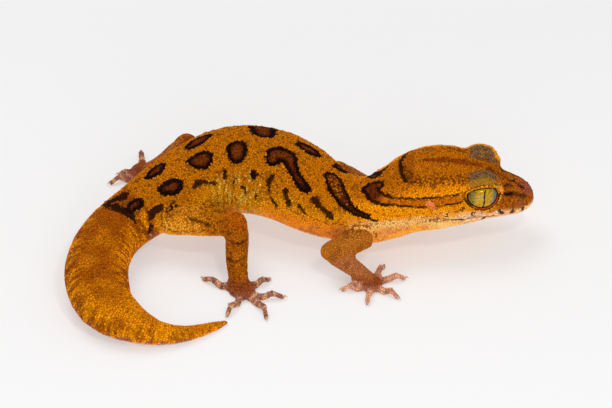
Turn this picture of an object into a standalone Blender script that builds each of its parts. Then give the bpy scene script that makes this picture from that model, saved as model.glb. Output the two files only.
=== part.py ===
"""A clouded bent-toed gecko at life size, standing with its fat tail curled round on the floor.

Sizes are in millimetres until the last step, which turns them into metres. The head points to +X, the
animal's left side to +Y, and the floor is z = 0. A still model, so nothing in it moves.
"""

import math

import bmesh
import bpy
import numpy as np
from mathutils.bvhtree import BVHTree

MM = 0.001
GAP = 0.3  # space between two parts that meet

# Stations down the middle of the animal, from the tail's tip to the snout. Each row is the middle of a
# section (x, y, z), its half width, its height above and below the middle, and its squareness.
TRUNK = (
    (-10.6, -20.8, 0.32, 0.40, 0.38, 0.38, 2.0),
    (-13.6, -23.0, 0.72, 0.82, 0.78, 0.78, 2.0),
    (-17.0, -24.5, 1.05, 1.20, 1.15, 1.15, 2.0),
    (-20.3, -24.8, 1.60, 1.80, 1.75, 1.70, 2.0),
    (-23.8, -23.5, 2.40, 3.10, 2.60, 2.60, 2.0),
    (-26.6, -21.0, 2.85, 3.85, 3.10, 3.05, 2.1),
    (-28.0, -16.5, 3.15, 4.30, 3.40, 3.35, 2.1),
    (-27.9, -10.6, 3.20, 4.30, 3.45, 3.40, 2.1),
    (-25.6, -4.8, 3.60, 4.15, 3.35, 3.40, 2.1),
    (-22.3, -2.3, 5.00, 4.35, 3.60, 3.85, 2.1),
    (-19.0, -0.2, 6.20, 4.80, 4.00, 4.40, 2.1),
    (-14.8, 2.1, 6.90, 5.80, 4.60, 4.60, 2.1),
    (-10.2, 3.6, 7.40, 6.90, 5.20, 5.00, 2.1),
    (-6.0, 3.4, 7.40, 7.10, 5.30, 5.00, 2.1),
    (-2.2, 1.7, 7.20, 6.60, 5.00, 5.05, 2.1),
    (1.7, -1.15, 7.00, 5.80, 3.70, 5.30, 2.1),
    (5.5, -2.9, 6.80, 4.95, 2.95, 5.40, 2.1),
    (9.6, -3.1, 6.60, 4.65, 3.60, 5.15, 2.2),
    (12.7, -2.0, 7.10, 5.20, 4.05, 4.60, 2.3),
    (15.3, -1.1, 7.50, 6.00, 4.60, 4.35, 2.4),
    (18.1, -0.6, 7.60, 6.20, 4.85, 4.05, 2.5),
    (20.8, -0.6, 7.45, 5.60, 4.85, 3.60, 2.5),
    (23.6, -0.6, 7.15, 4.60, 4.15, 3.10, 2.4),
    (26.2, -0.6, 6.85, 3.75, 2.55, 2.70, 2.3),
    (28.4, -0.6, 6.50, 2.95, 1.85, 2.40, 2.2),
    (30.75, -0.6, 6.05, 2.40, 1.55, 2.10, 2.1),
)
SNOUT_ROUNDING = 2.3  # length over which the snout closes
TAIL_ROUNDING = 0.45
FIRST_NECK_ROW = 16  # the shoulders
FIRST_HEAD_ROW = 18  # just behind the skull
FIRST_BACK_ROW = 9  # just before the vent
TAIL_SPLITS = (4, 7)  # the rows where the tail is divided
BACK_SPLIT = 13  # the row behind the ribs where the torso is divided
RING = 24  # points round a section of the body
HEAD_RING = 26
ROW_STEP = 2.1  # length of the body between two rings
HEAD_STEP = 1.45

HEAD_MIDDLE = -0.6  # y of the plane that divides the head into left and right
HEAD_TILT = 7.0  # degrees that the head leans to its right, about a line at this height
TILT_HEIGHT = 7.3
TILT_START = 11.0  # x where the neck begins to lean
TILT_END = 17.0

# The eyes, in their sockets under low domes
EYE_PLACE = (23.5, 3.30, 9.30)  # x, distance from the middle of the head, z
EYE_YAW = 10.0  # degrees that the eye looks forward of straight out
EYE_LIFT = 25.0  # degrees that it looks up
EYE_DEPTH = 1.82  # half the eyeball along its axis
EYE_RADIUS = 2.55  # and across it
DOME_DEPTH = 2.22
DOME_RADIUS = 2.95
DOME_HEIGHT = 3.3
DOME_RISE = 0.4  # of the dome's middle over the eyeball's
DOME_AHEAD = 0.3  # and forward of it
OPENING = (2.14, 1.42)  # half length and half height of the gap between the lids
LID_RING = (2.45, 1.74)  # the middle line of the raised lid edge
LID_THICKNESS = 0.26
LID_DEPTH = 1.64  # place of the lid edge along the eye's axis
LID_BOW = 0.19  # by which it is nearer the eye's middle in the corners, and farther above and below

# Ears, nostrils and mouth
EAR_PLACE = (16.9, 9.75)  # x, z
EAR_SIZE = (0.55, 0.75, 0.95)
EAR_TILT = 35.0
NOSTRIL_PLACE = (29.5, 7.2)
NOSTRIL_SIZE = (0.3, 0.35, 0.25)
MOUTH = (  # height of the line of the mouth along the head
    (17.6, 7.25),
    (19.2, 7.30),
    (21.2, 6.90),
    (23.0, 6.60),
    (24.8, 6.25),
    (26.4, 5.80),
    (28.0, 5.40),
    (29.2, 5.20),
    (30.4, 5.15),
)
MOUTH_GROOVE = 0.2  # depth of the line of the mouth
LIP = 0.5  # radius of the lip over it
LIP_RISE = 0.55  # from the line of the mouth to the middle of the lip
LIP_SINK = 0.32  # depth of the lip's middle under the cheek
SNOUT_TURN = 28.6  # x from which the lips fan round the snout, and the turns where they have a ring
SNOUT_FAN = (66, 44, 22)
BEAD_END = 0.4  # thickness of a lip at its end, as a share, and its growth for each step from there
BEAD_GROWTH = 0.25

# Limbs. Each row is a place (x, y, z) on the bone line, the half width and the half height there.
LIMBS = {
    "upper_arm_right": (
        (9.4, -4.6, 5.6, 1.50, 1.90),
        (7.7, -7.6, 4.7, 1.75, 2.00),
        (5.5, -9.5, 4.75, 1.60, 1.70),
        (3.2, -10.7, 4.5, 1.35, 1.40),
    ),
    "forearm_right": (
        (3.0, -10.7, 4.5, 1.35, 1.35),
        (5.2, -11.4, 3.3, 1.40, 1.35),
        (7.0, -11.9, 2.1, 1.20, 1.15),
        (8.6, -12.3, 1.1, 1.05, 0.80),
    ),
    "upper_arm_left": (
        (7.2, -1.0, 6.6, 1.45, 1.80),
        (6.3, 1.8, 6.2, 1.55, 1.75),
        (5.2, 4.0, 6.05, 1.50, 1.55),
        (4.4, 5.6, 5.85, 1.40, 1.45),
    ),
    "forearm_left": (
        (4.4, 5.8, 5.85, 1.35, 1.35),
        (6.8, 6.1, 3.9, 1.40, 1.35),
        (9.2, 6.3, 2.2, 1.20, 1.15),
        (10.8, 6.5, 1.1, 1.05, 0.80),
    ),
    "thigh_right": (
        (-19.8, -3.4, 4.6, 2.30, 2.50),
        (-17.0, -4.8, 5.6, 2.35, 2.40),
        (-13.0, -6.0, 6.0, 2.15, 2.15),
        (-9.6, -6.6, 6.1, 1.75, 1.75),
    ),
    "shank_right": (
        (-9.3, -6.5, 6.2, 1.65, 1.65),
        (-9.3, -8.9, 4.5, 1.65, 1.70),
        (-9.3, -11.2, 2.7, 1.50, 1.45),
        (-9.0, -13.2, 1.3, 1.35, 1.00),
    ),
    "thigh_left": (
        (-19.6, 1.6, 6.2, 2.20, 2.40),
        (-18.3, 4.2, 6.4, 2.25, 2.30),
        (-17.2, 6.8, 6.9, 2.05, 2.05),
        (-16.2, 9.3, 7.35, 1.75, 1.75),
    ),
    "shank_left": (
        (-16.2, 9.4, 7.3, 1.55, 1.55),
        (-17.6, 10.2, 5.4, 1.50, 1.50),
        (-19.6, 11.1, 2.9, 1.25, 1.25),
        (-21.3, 12.1, 1.3, 1.15, 0.95),
    ),
}
LIMB_RING = 10
LIMB_ROWS = 6
CAP_TURNS = (38, 74)  # degrees round the rounded end of a limb part at which it has a ring

# Hands and feet: middle of the palm (x, y) and its half length, half width and height.
PALMS = {
    "hand_right": (8.9, -12.5, 1.45, 1.35, 1.25),
    "hand_left": (11.2, 6.6, 1.45, 1.35, 1.25),
    "foot_right": (-8.6, -14.0, 1.95, 1.75, 1.45),
    "foot_left": (-22.2, 12.7, 1.85, 1.75, 1.45),
}
# Toes of each: the way that the toe leaves the palm in degrees from +X, its length from the middle of
# the palm, and how far it turns at each of its two bends.
TOES = {
    "hand_right": ((70, 4.0, -6, 0), (23, 4.5, -15, 0), (313, 4.5, 22, -20), (261, 4.2, 0, 0), (209, 4.2, -28, 8)),
    "hand_left": ((-70, 4.0, 6, 0), (-23, 4.5, 15, 0), (47, 4.5, -22, 20), (99, 3.9, 0, 0), (151, 3.8, 28, -8)),
    "foot_right": ((160, 5.8, -14, 0), (257, 5.8, -25, 20), (305, 6.9, -3, -25), (331, 5.9, 38, -12), (33, 4.2, 0, 6)),
    "foot_left": ((94, 4.2, 0, 0), (199, 3.2, -10, -12), (223, 5.2, -43, 33), (-12, 4.9, 10, 0), (38, 4.0, 0, 0)),
}
TOE_SPLIT = (0.55, 0.8, 1.0)  # share of the toe's length at each bend and at the tip
TOE_HEIGHTS = (0.62, 0.52, 1.0, 0.44)  # of the toe's middle at its root, bends and tip
TOE_RADII = (0.66, 0.60, 0.53, 0.43)
TOE_RING = 6
TOE_ROWS = 5
CLAW_LENGTH = 0.5
CLAW_RADIUS = 0.2
CLAW_ROOT = 0.35  # of the claw sunk in the toe

# Colours as linear red, green and blue, and roughness
COLOURS = {
    "head": (0.42, 0.19, 0.03),
    "torso": (0.56, 0.24, 0.02),
    "tail": (0.46, 0.16, 0.01),
    "limb": (0.38, 0.13, 0.02),
    "toes": (0.25, 0.09, 0.05),
    "eye": (0.45, 0.34, 0.05),
}
SKIN_ROUGHNESS = 0.6
EYE_ROUGHNESS = 0.08


def clear_scene():
    for thing in list(bpy.data.objects):
        bpy.data.objects.remove(thing, do_unlink=True)


def spline(rows, places):
    """Rows read at places along the line through their first three numbers, as a smooth curve."""
    rows = np.array(rows, dtype=float)
    along = np.concatenate([[0], np.cumsum(np.linalg.norm(np.diff(rows[:, :3], axis=0), axis=1))])
    steps = np.diff(along)[:, None]
    slopes = np.diff(rows, axis=0) / steps
    inner = (slopes[:-1] * steps[1:] + slopes[1:] * steps[:-1]) / (steps[1:] + steps[:-1])
    tangents = np.vstack([slopes[:1], inner, slopes[-1:]])
    places = np.atleast_1d(places)
    piece = np.clip(np.searchsorted(along, places, side="right") - 1, 0, len(rows) - 2)
    h = np.diff(along)[piece]
    t = ((places - along[piece]) / h)[:, None]
    h = h[:, None]
    value = (
        rows[piece] * (2 * t**3 - 3 * t**2 + 1)
        + tangents[piece] * h * (t**3 - 2 * t**2 + t)
        + rows[piece + 1] * (3 * t**2 - 2 * t**3)
        + tangents[piece + 1] * h * (t**3 - t**2)
    )
    slope = (
        rows[piece] * (6 * t**2 - 6 * t) / h
        + tangents[piece] * (3 * t**2 - 4 * t + 1)
        + rows[piece + 1] * (6 * t - 6 * t**2) / h
        + tangents[piece + 1] * (3 * t**2 - 2 * t)
    )
    return value, slope[:, :3] / np.linalg.norm(slope[:, :3], axis=1)[:, None]


def lengths(rows):
    """How far along the line each row is."""
    rows = np.array(rows, dtype=float)
    return np.concatenate([[0], np.cumsum(np.linalg.norm(np.diff(rows[:, :3], axis=0), axis=1))])


def section(middle, tangent, width, up, down, square, count):
    """Points of a rounded section across the tangent, from the right side up over the top."""
    side = np.cross(tangent, (0, 0, 1))
    side /= np.linalg.norm(side)
    over = np.cross(side, tangent)
    angle = np.arange(count) * 2 * math.pi / count
    across = np.sign(np.cos(angle)) * np.abs(np.cos(angle)) ** (2 / square) * width
    rise = np.sign(np.sin(angle)) * np.abs(np.sin(angle)) ** (2 / square)
    rise *= np.where(rise > 0, up, down)
    return middle + across[:, None] * side + rise[:, None] * over


def make_object(name, points, faces):
    mesh = bpy.data.meshes.new(name)
    mesh.from_pydata([tuple(p) for p in points], [], faces)
    thing = bpy.data.objects.new(name, mesh)
    bpy.context.scene.collection.objects.link(thing)
    tidy(thing)
    return thing


def tidy(thing):
    """Triangles only, normals outward, no two corners in one place."""
    work = bmesh.new()
    work.from_mesh(thing.data)
    bmesh.ops.remove_doubles(work, verts=work.verts, dist=0.0005)
    bmesh.ops.triangulate(work, faces=work.faces)
    bmesh.ops.recalc_face_normals(work, faces=work.faces)
    work.to_mesh(thing.data)
    work.free()


def skin_rings(name, rings):
    """A closed body over rings of points, with a fan at each end."""
    count = len(rings[0])
    points = [p for ring in rings for p in ring]
    faces = []
    for row in range(len(rings) - 1):
        for i in range(count):
            j = (i + 1) % count
            a, b = row * count, (row + 1) * count
            faces.append((a + i, a + j, b + j, b + i))
    for row in (0, len(rings) - 1):
        middle = np.mean(rings[row], axis=0)
        points.append(middle)
        for i in range(count):
            faces.append((row * count + i, row * count + (i + 1) % count, len(points) - 1))
    return make_object(name, points, faces)


def rounding(place, start, end, radius, closes):
    """How much of a section is left near a closed end of the body."""
    left = (place - start) if closes == "start" else (end - place)
    if left >= radius:
        return 1.0
    return math.sqrt(max(1 - (1 - left / radius) ** 2, 0.0025))


def trunk_rings(start, end, step, count, grow=0.0):
    """Rings of the body between two places along it."""
    total = lengths(TRUNK)[-1]
    places = np.linspace(start, end, max(2, math.ceil((end - start) / step) + 1))
    if end >= total:
        turn = np.linspace(0, math.pi / 2, 6)
        places = np.append(places[places < total - SNOUT_ROUNDING], total - SNOUT_ROUNDING * (1 - np.sin(turn)))
    if start <= 0:
        places = np.append([0, TAIL_ROUNDING * 0.2], places[places > TAIL_ROUNDING])
    values, tangents = spline(TRUNK, places)
    rings = []
    for place, value, tangent in zip(places, values, tangents):
        share = rounding(place, 0, total, SNOUT_ROUNDING, "end") * rounding(place, 0, total, TAIL_ROUNDING, "start")
        width, up, down = value[3:6] * share + grow
        rings.append(section(value[:3], tangent, width, up, down, value[6], count))
    return rings


def limb(name, rows, count=LIMB_RING, steps=LIMB_ROWS, grow=0.0, flat_root=False):
    """A limb part along its bone line with rounded ends, or a flat one at its root."""
    total = lengths(rows)[-1]
    values, tangents = spline(rows, np.linspace(0, total, steps))
    rings = [
        section(v[:3], t, v[3] + grow, v[4] + grow, v[4] + grow, 2, count) for v, t in zip(values, tangents)
    ]
    caps = []
    for value, tangent, way in ((values[0], tangents[0], -1), (values[-1], tangents[-1], 1)):
        reach = min(value[3], value[4]) + grow
        cap = []
        for turn in CAP_TURNS:
            share = math.cos(math.radians(turn))
            middle = value[:3] + tangent * way * reach * math.sin(math.radians(turn))
            width, height = (value[3] + grow) * share, (value[4] + grow) * share
            cap.append(section(middle, tangent, width, height, height, 2, count))
        caps.append(cap)
    root = [] if flat_root else caps[0][::-1]
    return skin_rings(name, root + rings + caps[1])


def ball(name, place, size, turn=(0, 0, 0), around=16, rows=10):
    """An egg with these half sizes, turned by degrees about X, Y and Z."""
    bpy.ops.mesh.primitive_uv_sphere_add(segments=around, ring_count=rows, radius=1)
    thing = bpy.context.object
    thing.name = name
    thing.scale = size
    thing.rotation_euler = [math.radians(a) for a in turn]
    thing.location = place
    bpy.ops.object.transform_apply(location=True, rotation=True, scale=True)
    tidy(thing)
    return thing


def combine(thing, other, how):
    """Joins or cuts thing with other, which is used up, and keeps the largest closed surface."""
    step = thing.modifiers.new(how, "BOOLEAN")
    step.operation = how
    step.solver = "MANIFOLD"
    step.object = other
    bpy.context.view_layer.objects.active = thing
    bpy.ops.object.modifier_apply(modifier=step.name)
    bpy.data.objects.remove(other, do_unlink=True)
    keep_largest(thing)
    return thing


def keep_largest(thing):
    work = bmesh.new()
    work.from_mesh(thing.data)
    bmesh.ops.remove_doubles(work, verts=work.verts, dist=0.0005)
    left = set(work.faces)
    shells = []
    while left:
        todo = [left.pop()]
        shell = []
        while todo:
            face = todo.pop()
            shell.append(face)
            for edge in face.edges:
                for near in edge.link_faces:
                    if near in left:
                        left.discard(near)
                        todo.append(near)
        shells.append(shell)
    shells.sort(key=len)
    spare = [face for shell in shells[:-1] for face in shell]
    bmesh.ops.delete(work, geom=spare, context="FACES")
    bmesh.ops.triangulate(work, faces=work.faces)
    work.to_mesh(thing.data)
    work.free()


def floor_block():
    """The room under the floor, which flattens what rests on it."""
    bpy.ops.mesh.primitive_cube_add(size=1, location=(0, 0, -5))
    thing = bpy.context.object
    thing.scale = (120, 120, 10)
    bpy.ops.object.transform_apply(location=True, rotation=True, scale=True)
    return thing


def eye_frame(side):
    """Middle of an eye and its three axes: out, forward and up. side is -1 on the right, 1 on the left."""
    x, off, z = EYE_PLACE
    middle = np.array([x, HEAD_MIDDLE + side * off, z])
    yaw, lift = math.radians(EYE_YAW), math.radians(EYE_LIFT)
    out = np.array([math.sin(yaw) * math.cos(lift), side * math.cos(yaw) * math.cos(lift), math.sin(lift)])
    forward = np.cross(out, (0, 0, 1)) * side
    forward /= np.linalg.norm(forward)
    up = np.cross(out, forward) * -side
    up *= np.sign(up[2])
    return middle, out, forward, up


def eye_shape(name, side, depth, length, height, around=14, rows=8, rise=0.0, ahead=0.0):
    """An egg on the eye's axis."""
    middle, out, forward, up = eye_frame(side)
    middle = middle + up * rise + forward * ahead
    rings = []
    for row in range(1, rows):
        angle = math.pi * row / rows
        turn = np.arange(around) * 2 * math.pi / around
        flat = np.outer(np.cos(turn) * length, forward) + np.outer(np.sin(turn) * height, up)
        rings.append(middle - out * depth * math.cos(angle) + flat * math.sin(angle))
    return skin_rings(name, rings)


def eye_hole(name, side, around=14):
    """The gap between the lids, as a plug that runs outward from inside the eyeball."""
    middle, out, forward, up = eye_frame(side)
    turn = np.arange(around) * 2 * math.pi / around
    flat = np.outer(np.cos(turn) * OPENING[0], forward) + np.outer(np.sin(turn) * OPENING[1], up)
    return skin_rings(name, [middle + out * far + flat for far in (EYE_DEPTH / 2, EYE_DEPTH * 2)])


def lid_ring(name, side, around=16, count=4):
    """The raised edge of the lids."""
    middle, out, forward, up = eye_frame(side)
    points = []
    for i in range(around):
        turn = i * 2 * math.pi / around
        ray = forward * math.cos(turn) * LID_RING[0] + up * math.sin(turn) * LID_RING[1]
        bow = LID_DEPTH - LID_BOW * math.cos(2 * turn)
        for j in range(count):
            roll = j * 2 * math.pi / count
            points.append(
                middle
                + out * (bow + LID_THICKNESS * math.sin(roll))
                + ray * (1 + LID_THICKNESS * math.cos(roll) / np.linalg.norm(ray))
            )
    faces = []
    for i in range(around):
        for j in range(count):
            a, b = i * count, (i + 1) % around * count
            k = (j + 1) % count
            faces.append((a + j, a + k, b + k, b + j))
    return make_object(name, points, faces)


def surface(thing):
    """The faces of a body, to find places on it."""
    return BVHTree.FromPolygons([v.co for v in thing.data.vertices], [p.vertices for p in thing.data.polygons])


def place_on(skin, x, z, way):
    """Where a level ray from the middle of the head at x and z leaves it. way is in degrees from +X."""
    ray = (math.cos(math.radians(way)), math.sin(math.radians(way)), 0)
    return np.array(skin.ray_cast((x, HEAD_MIDDLE, z), ray)[0])


def pit(name, skin, side, place, size, tilt):
    """An egg that hollows the side of the head at a place."""
    x, z = place
    return ball(name, place_on(skin, x, z, 90 * side), size, (0, tilt, 0), 10, 7)


def lip_path(skin, rise, inset):
    """Points round the snout from one corner of the mouth to the other, at a height over its line."""
    table = np.array(MOUTH)
    steps = [(x, 90) for x in np.linspace(table[0, 0], SNOUT_TURN, 10)] + [(SNOUT_TURN, turn) for turn in SNOUT_FAN]
    half = []
    for x, turn in steps:
        ahead = x + (table[-1, 0] - SNOUT_TURN) * math.cos(math.radians(turn))
        half.append((x, turn, np.interp(ahead, table[:, 0], table[:, 1]) + rise))
    right = [place_on(skin, x, z, -turn) for x, turn, z in half]
    left = [place_on(skin, x, z, turn) for x, turn, z in half]
    front = place_on(skin, SNOUT_TURN, table[-1, 1] + rise, 0)
    path = np.array(right + [front] + left[::-1])
    way = np.gradient(path, axis=0)
    outward = np.column_stack([way[:, 1], -way[:, 0], np.zeros(len(way))])
    return path - outward / np.linalg.norm(outward, axis=1)[:, None] * inset


def bead(name, path, radius, count):
    """A thin rounded strip along a path, finer at its two ends."""
    path = np.array(path)
    tangents = np.gradient(path, axis=0)
    tangents /= np.linalg.norm(tangents, axis=1)[:, None]
    rings = []
    for i, (place, tangent) in enumerate(zip(path, tangents)):
        end = min(i, len(path) - 1 - i)
        size = radius * min(1.0, BEAD_END + BEAD_GROWTH * end)
        rings.append(section(place, tangent, size, size, size, 2, count))
    return skin_rings(name, rings)


def build_head():
    along = lengths(TRUNK)
    head = skin_rings("head", trunk_rings(along[FIRST_HEAD_ROW] + GAP / 2, along[-1], HEAD_STEP, HEAD_RING))
    skin = surface(head)
    combine(head, bead("lip", lip_path(skin, LIP_RISE, LIP_SINK), LIP, 5), "UNION")
    groove = bead("mouth", lip_path(surface(head), 0, 0), MOUTH_GROOVE, 4)
    for side in (-1, 1):
        dome = eye_shape("dome", side, DOME_DEPTH, DOME_RADIUS, DOME_HEIGHT, 16, 9, DOME_RISE, DOME_AHEAD)
        combine(head, dome, "UNION")
        combine(head, lid_ring("lid", side), "UNION")
    combine(head, groove, "DIFFERENCE")
    for side in (-1, 1):
        depth, radius = EYE_DEPTH + GAP, EYE_RADIUS + GAP
        socket = combine(eye_shape("socket", side, depth, radius, radius), eye_hole("hole", side), "UNION")
        combine(head, socket, "DIFFERENCE")
        combine(head, pit("ear", skin, side, EAR_PLACE, EAR_SIZE, EAR_TILT), "DIFFERENCE")
        combine(head, pit("nostril", skin, side, NOSTRIL_PLACE, NOSTRIL_SIZE, 0), "DIFFERENCE")
    return head


def build_body():
    """Neck, torso and tail, each ending in a plane a gap away from the next."""
    along = lengths(TRUNK)
    splits = [0.0] + [along[i] for i in TAIL_SPLITS] + [along[FIRST_BACK_ROW], along[BACK_SPLIT]]
    splits += [along[FIRST_NECK_ROW], along[FIRST_HEAD_ROW]]
    names = ("tail_tip", "tail_middle", "tail_base", "torso_rear", "torso_front", "neck")
    parts = {}
    for name, start, end in zip(names, splits[:-1], splits[1:]):
        first = start + GAP / 2 if start else 0.0
        parts[name] = skin_rings(name, trunk_rings(first, end - GAP / 2, ROW_STEP, RING))
        if name.startswith("tail"):
            combine(parts[name], floor_block(), "DIFFERENCE")
    return parts


def grown_body():
    """The torso and neck made larger by the gap, to cut the limbs that meet them."""
    along = lengths(TRUNK)
    return skin_rings("room", trunk_rings(along[FIRST_BACK_ROW - 1], along[FIRST_HEAD_ROW], ROW_STEP, RING, GAP))


def toe(name, palm, row):
    """One toe with its claw, from inside the palm."""
    angle, length, first, second = row
    ways = [math.radians(angle), math.radians(angle + first), math.radians(angle + first + second)]
    place = np.array([palm[0], palm[1], TOE_HEIGHTS[0]])
    rows = [(*place, TOE_RADII[0], TOE_RADII[0])]
    for i, way in enumerate(ways):
        reach = length * (TOE_SPLIT[i] - (TOE_SPLIT[i - 1] if i else 0))
        place = place + np.array([math.cos(way) * reach, math.sin(way) * reach, 0])
        place[2] = TOE_HEIGHTS[i + 1]
        rows.append((*place, TOE_RADII[i + 1], TOE_RADII[i + 1]))
    thing = limb(name, rows, TOE_RING, TOE_ROWS, flat_root=True)
    out = np.array([math.cos(ways[-1]), math.sin(ways[-1]), 0])
    root = place + out * (TOE_RADII[-1] - CLAW_ROOT)
    claw = []
    for t, size in ((0, 1.0), (0.55, 0.85), (1.0, 0.15)):
        middle = root + out * (CLAW_LENGTH + CLAW_ROOT) * t + np.array([0, 0, 0.12 * t - 0.35 * t * t])
        claw.append(section(middle, out, CLAW_RADIUS * size, CLAW_RADIUS * size, CLAW_RADIUS * size, 2, 5))
    return combine(thing, skin_rings("claw", claw), "UNION")


def build_palm(name):
    """A palm or sole with its five toes, flat on the floor."""
    x, y, half_length, half_width, height = PALMS[name]
    foot = ball(name, (x, y, height * 0.35), (half_length, half_width, height * 0.65), (0, 0, 0), 12, 7)
    for row in TOES[name]:
        combine(foot, toe("toe", (x, y), row), "UNION")
    return combine(foot, floor_block(), "DIFFERENCE")


def build_limbs():
    """Each limb part is cut by the part before it, made larger by the gap."""
    parts = {}
    for side in ("right", "left"):
        for upper, lower, end in (("upper_arm", "forearm", "hand"), ("thigh", "shank", "foot")):
            first, second, last = f"{upper}_{side}", f"{lower}_{side}", f"{end}_{side}"
            parts[first] = combine(limb(first, LIMBS[first]), grown_body(), "DIFFERENCE")
            parts[second] = combine(
                limb(second, LIMBS[second]), limb("room", LIMBS[first], grow=GAP), "DIFFERENCE"
            )
            combine(parts[second], floor_block(), "DIFFERENCE")
            parts[last] = combine(build_palm(last), limb("room", LIMBS[second], grow=GAP), "DIFFERENCE")
    return parts


def paint(thing):
    """A plain material of its own for each part."""
    kinds = (("head", "head"), ("neck", "torso"), ("torso", "torso"), ("tail", "tail"), ("eye", "eye"))
    kinds += (("hand", "toes"), ("foot", "toes"))
    kind = next((k for start, k in kinds if thing.name.startswith(start)), "limb")
    material = bpy.data.materials.new(thing.name)
    material.use_nodes = True
    shader = material.node_tree.nodes["Principled BSDF"]
    shader.inputs["Base Color"].default_value = (*COLOURS[kind], 1)
    shader.inputs["Roughness"].default_value = EYE_ROUGHNESS if kind == "eye" else SKIN_ROUGHNESS
    shader.inputs["Metallic"].default_value = 0.0
    thing.data.materials.clear()
    thing.data.materials.append(material)


def lean_head(parts):
    """Turns the head and neck a little to the right about a line along them."""
    for part in parts:
        for v in part.data.vertices:
            share = min(max((v.co.x - TILT_START) / (TILT_END - TILT_START), 0), 1)
            turn = math.radians(HEAD_TILT) * share * share * (3 - 2 * share)
            y, z = v.co.y - HEAD_MIDDLE, v.co.z - TILT_HEIGHT
            v.co.y = HEAD_MIDDLE + y * math.cos(turn) - z * math.sin(turn)
            v.co.z = TILT_HEIGHT + y * math.sin(turn) + z * math.cos(turn)


def place_model(parts):
    """Metres, with the middle of the model's base at the origin."""
    points = np.array([v.co for part in parts for v in part.data.vertices])
    low, high = points.min(axis=0), points.max(axis=0)
    shift = np.array([(low[0] + high[0]) / 2, (low[1] + high[1]) / 2, 0])
    print("The model's own middle in millimetres was at", np.round(shift, 4))
    for part in parts:
        for v in part.data.vertices:
            v.co = [(c - s) * MM for c, s in zip(v.co, shift)]


def main():
    clear_scene()
    parts = build_body()
    parts["head"] = build_head()
    parts.update(build_limbs())
    for side, name in ((-1, "eye_right"), (1, "eye_left")):
        parts[name] = eye_shape(name, side, EYE_DEPTH, EYE_RADIUS, EYE_RADIUS)
    lean_head([parts[name] for name in ("neck", "head", "eye_right", "eye_left")])
    for name, part in parts.items():
        part.name = name
        paint(part)
    place_model(list(parts.values()))


main()
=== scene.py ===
# %% [markdown]
# # A clouded bent-toed gecko at life size
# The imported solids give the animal's true shape in coarse facets. This lesson covers them with one smooth
# skin, some thirty-seven thousand small scales, eyes and claws, and then lights them as in a white studio.
# All shaping is done in millimetres, because the animal is only 63 mm long, and turned to metres at the end.

# %% The frame
import math

import bpy
import numpy as np
from mathutils import Matrix, Vector
from mathutils.bvhtree import BVHTree
from mathutils.kdtree import KDTree


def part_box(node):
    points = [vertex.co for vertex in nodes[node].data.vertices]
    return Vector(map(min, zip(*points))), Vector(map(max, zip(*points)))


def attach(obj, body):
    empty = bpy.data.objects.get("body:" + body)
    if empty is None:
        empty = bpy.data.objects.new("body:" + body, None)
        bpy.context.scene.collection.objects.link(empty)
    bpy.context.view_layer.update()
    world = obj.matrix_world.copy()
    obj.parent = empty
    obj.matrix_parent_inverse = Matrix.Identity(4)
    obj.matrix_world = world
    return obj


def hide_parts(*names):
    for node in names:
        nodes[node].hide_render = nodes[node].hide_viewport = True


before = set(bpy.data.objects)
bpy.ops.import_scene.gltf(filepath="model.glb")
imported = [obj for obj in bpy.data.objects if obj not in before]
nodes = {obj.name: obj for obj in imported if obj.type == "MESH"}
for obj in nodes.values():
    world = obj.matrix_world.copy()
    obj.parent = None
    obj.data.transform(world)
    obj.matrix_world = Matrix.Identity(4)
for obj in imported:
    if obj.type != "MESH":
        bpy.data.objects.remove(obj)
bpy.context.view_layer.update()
MM = 0.001
luck = np.random.default_rng(7)
print("solids:", len(nodes))

# %% [markdown]
# A few small helpers come first. Colours are picked as the hex values that a paint program shows, so one
# function turns them into the linear light that Blender calculates with. Others add a material with its plain
# values, and a shader node with its settings and links. Big meshes are made from arrays, which is far quicker
# than one face at a time.


# %% Small helpers
def colour(code):
    """Linear red, green and blue of an sRGB hex colour."""
    values = np.array([int(code[i : i + 2], 16) for i in (1, 3, 5)]) / 255
    return np.where(values <= 0.04045, values / 12.92, ((values + 0.055) / 1.055) ** 2.4)


def new_material(name, settings):
    """A material with values set on its Principled shader, and that shader."""
    material = bpy.data.materials.new(name)
    material.use_nodes = True
    shader = material.node_tree.nodes["Principled BSDF"]
    for key, value in settings.items():
        shader.inputs[key].default_value = value
    return material, shader


def add_node(tree, kind, settings=(), links=()):
    """A shader node with sockets or properties set, and inputs linked from other nodes' outputs."""
    node = tree.nodes.new(kind)
    for key, value in dict(settings).items():
        if isinstance(key, str) and hasattr(node, key):
            setattr(node, key, value)
        else:
            node.inputs[key].default_value = value
    for key, output in dict(links).items():
        tree.links.new(output, node.inputs[key])
    return node


def mesh_of(name, points, triangles):
    """A new object from an array of points in millimetres and an array of triangles."""
    mesh = bpy.data.meshes.new(name)
    mesh.vertices.add(len(points))
    mesh.vertices.foreach_set("co", np.asarray(points, np.float32).ravel())
    mesh.loops.add(triangles.size)
    mesh.loops.foreach_set("vertex_index", triangles.astype(np.int32).ravel())
    mesh.polygons.add(len(triangles))
    mesh.polygons.foreach_set("loop_start", np.arange(0, triangles.size, 3, dtype=np.int32))
    mesh.update(calc_edges=True)
    thing = bpy.data.objects.new(name, mesh)
    bpy.context.scene.collection.objects.link(thing)
    return thing


def only(thing):
    """Makes this object the one that operators act on."""
    bpy.ops.object.select_all(action="DESELECT")
    thing.select_set(True)
    bpy.context.view_layer.objects.active = thing


def read(thing, what="co"):
    values = np.zeros(len(thing.data.vertices) * 3, np.float32)
    thing.data.vertices.foreach_get(what, values)
    return values.reshape(-1, 3).astype(float)


def write(thing, points):
    thing.data.vertices.foreach_set("co", points.astype(np.float32).ravel())
    thing.data.update()


def unit(vectors):
    return vectors / np.maximum(np.linalg.norm(vectors, axis=-1, keepdims=True), 1e-12)


def ease(value, low, high):
    """0 below low, 1 above high and a smooth step between."""
    share = np.clip((value - low) / (high - low), 0, 1)
    return share * share * (3 - 2 * share)


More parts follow.
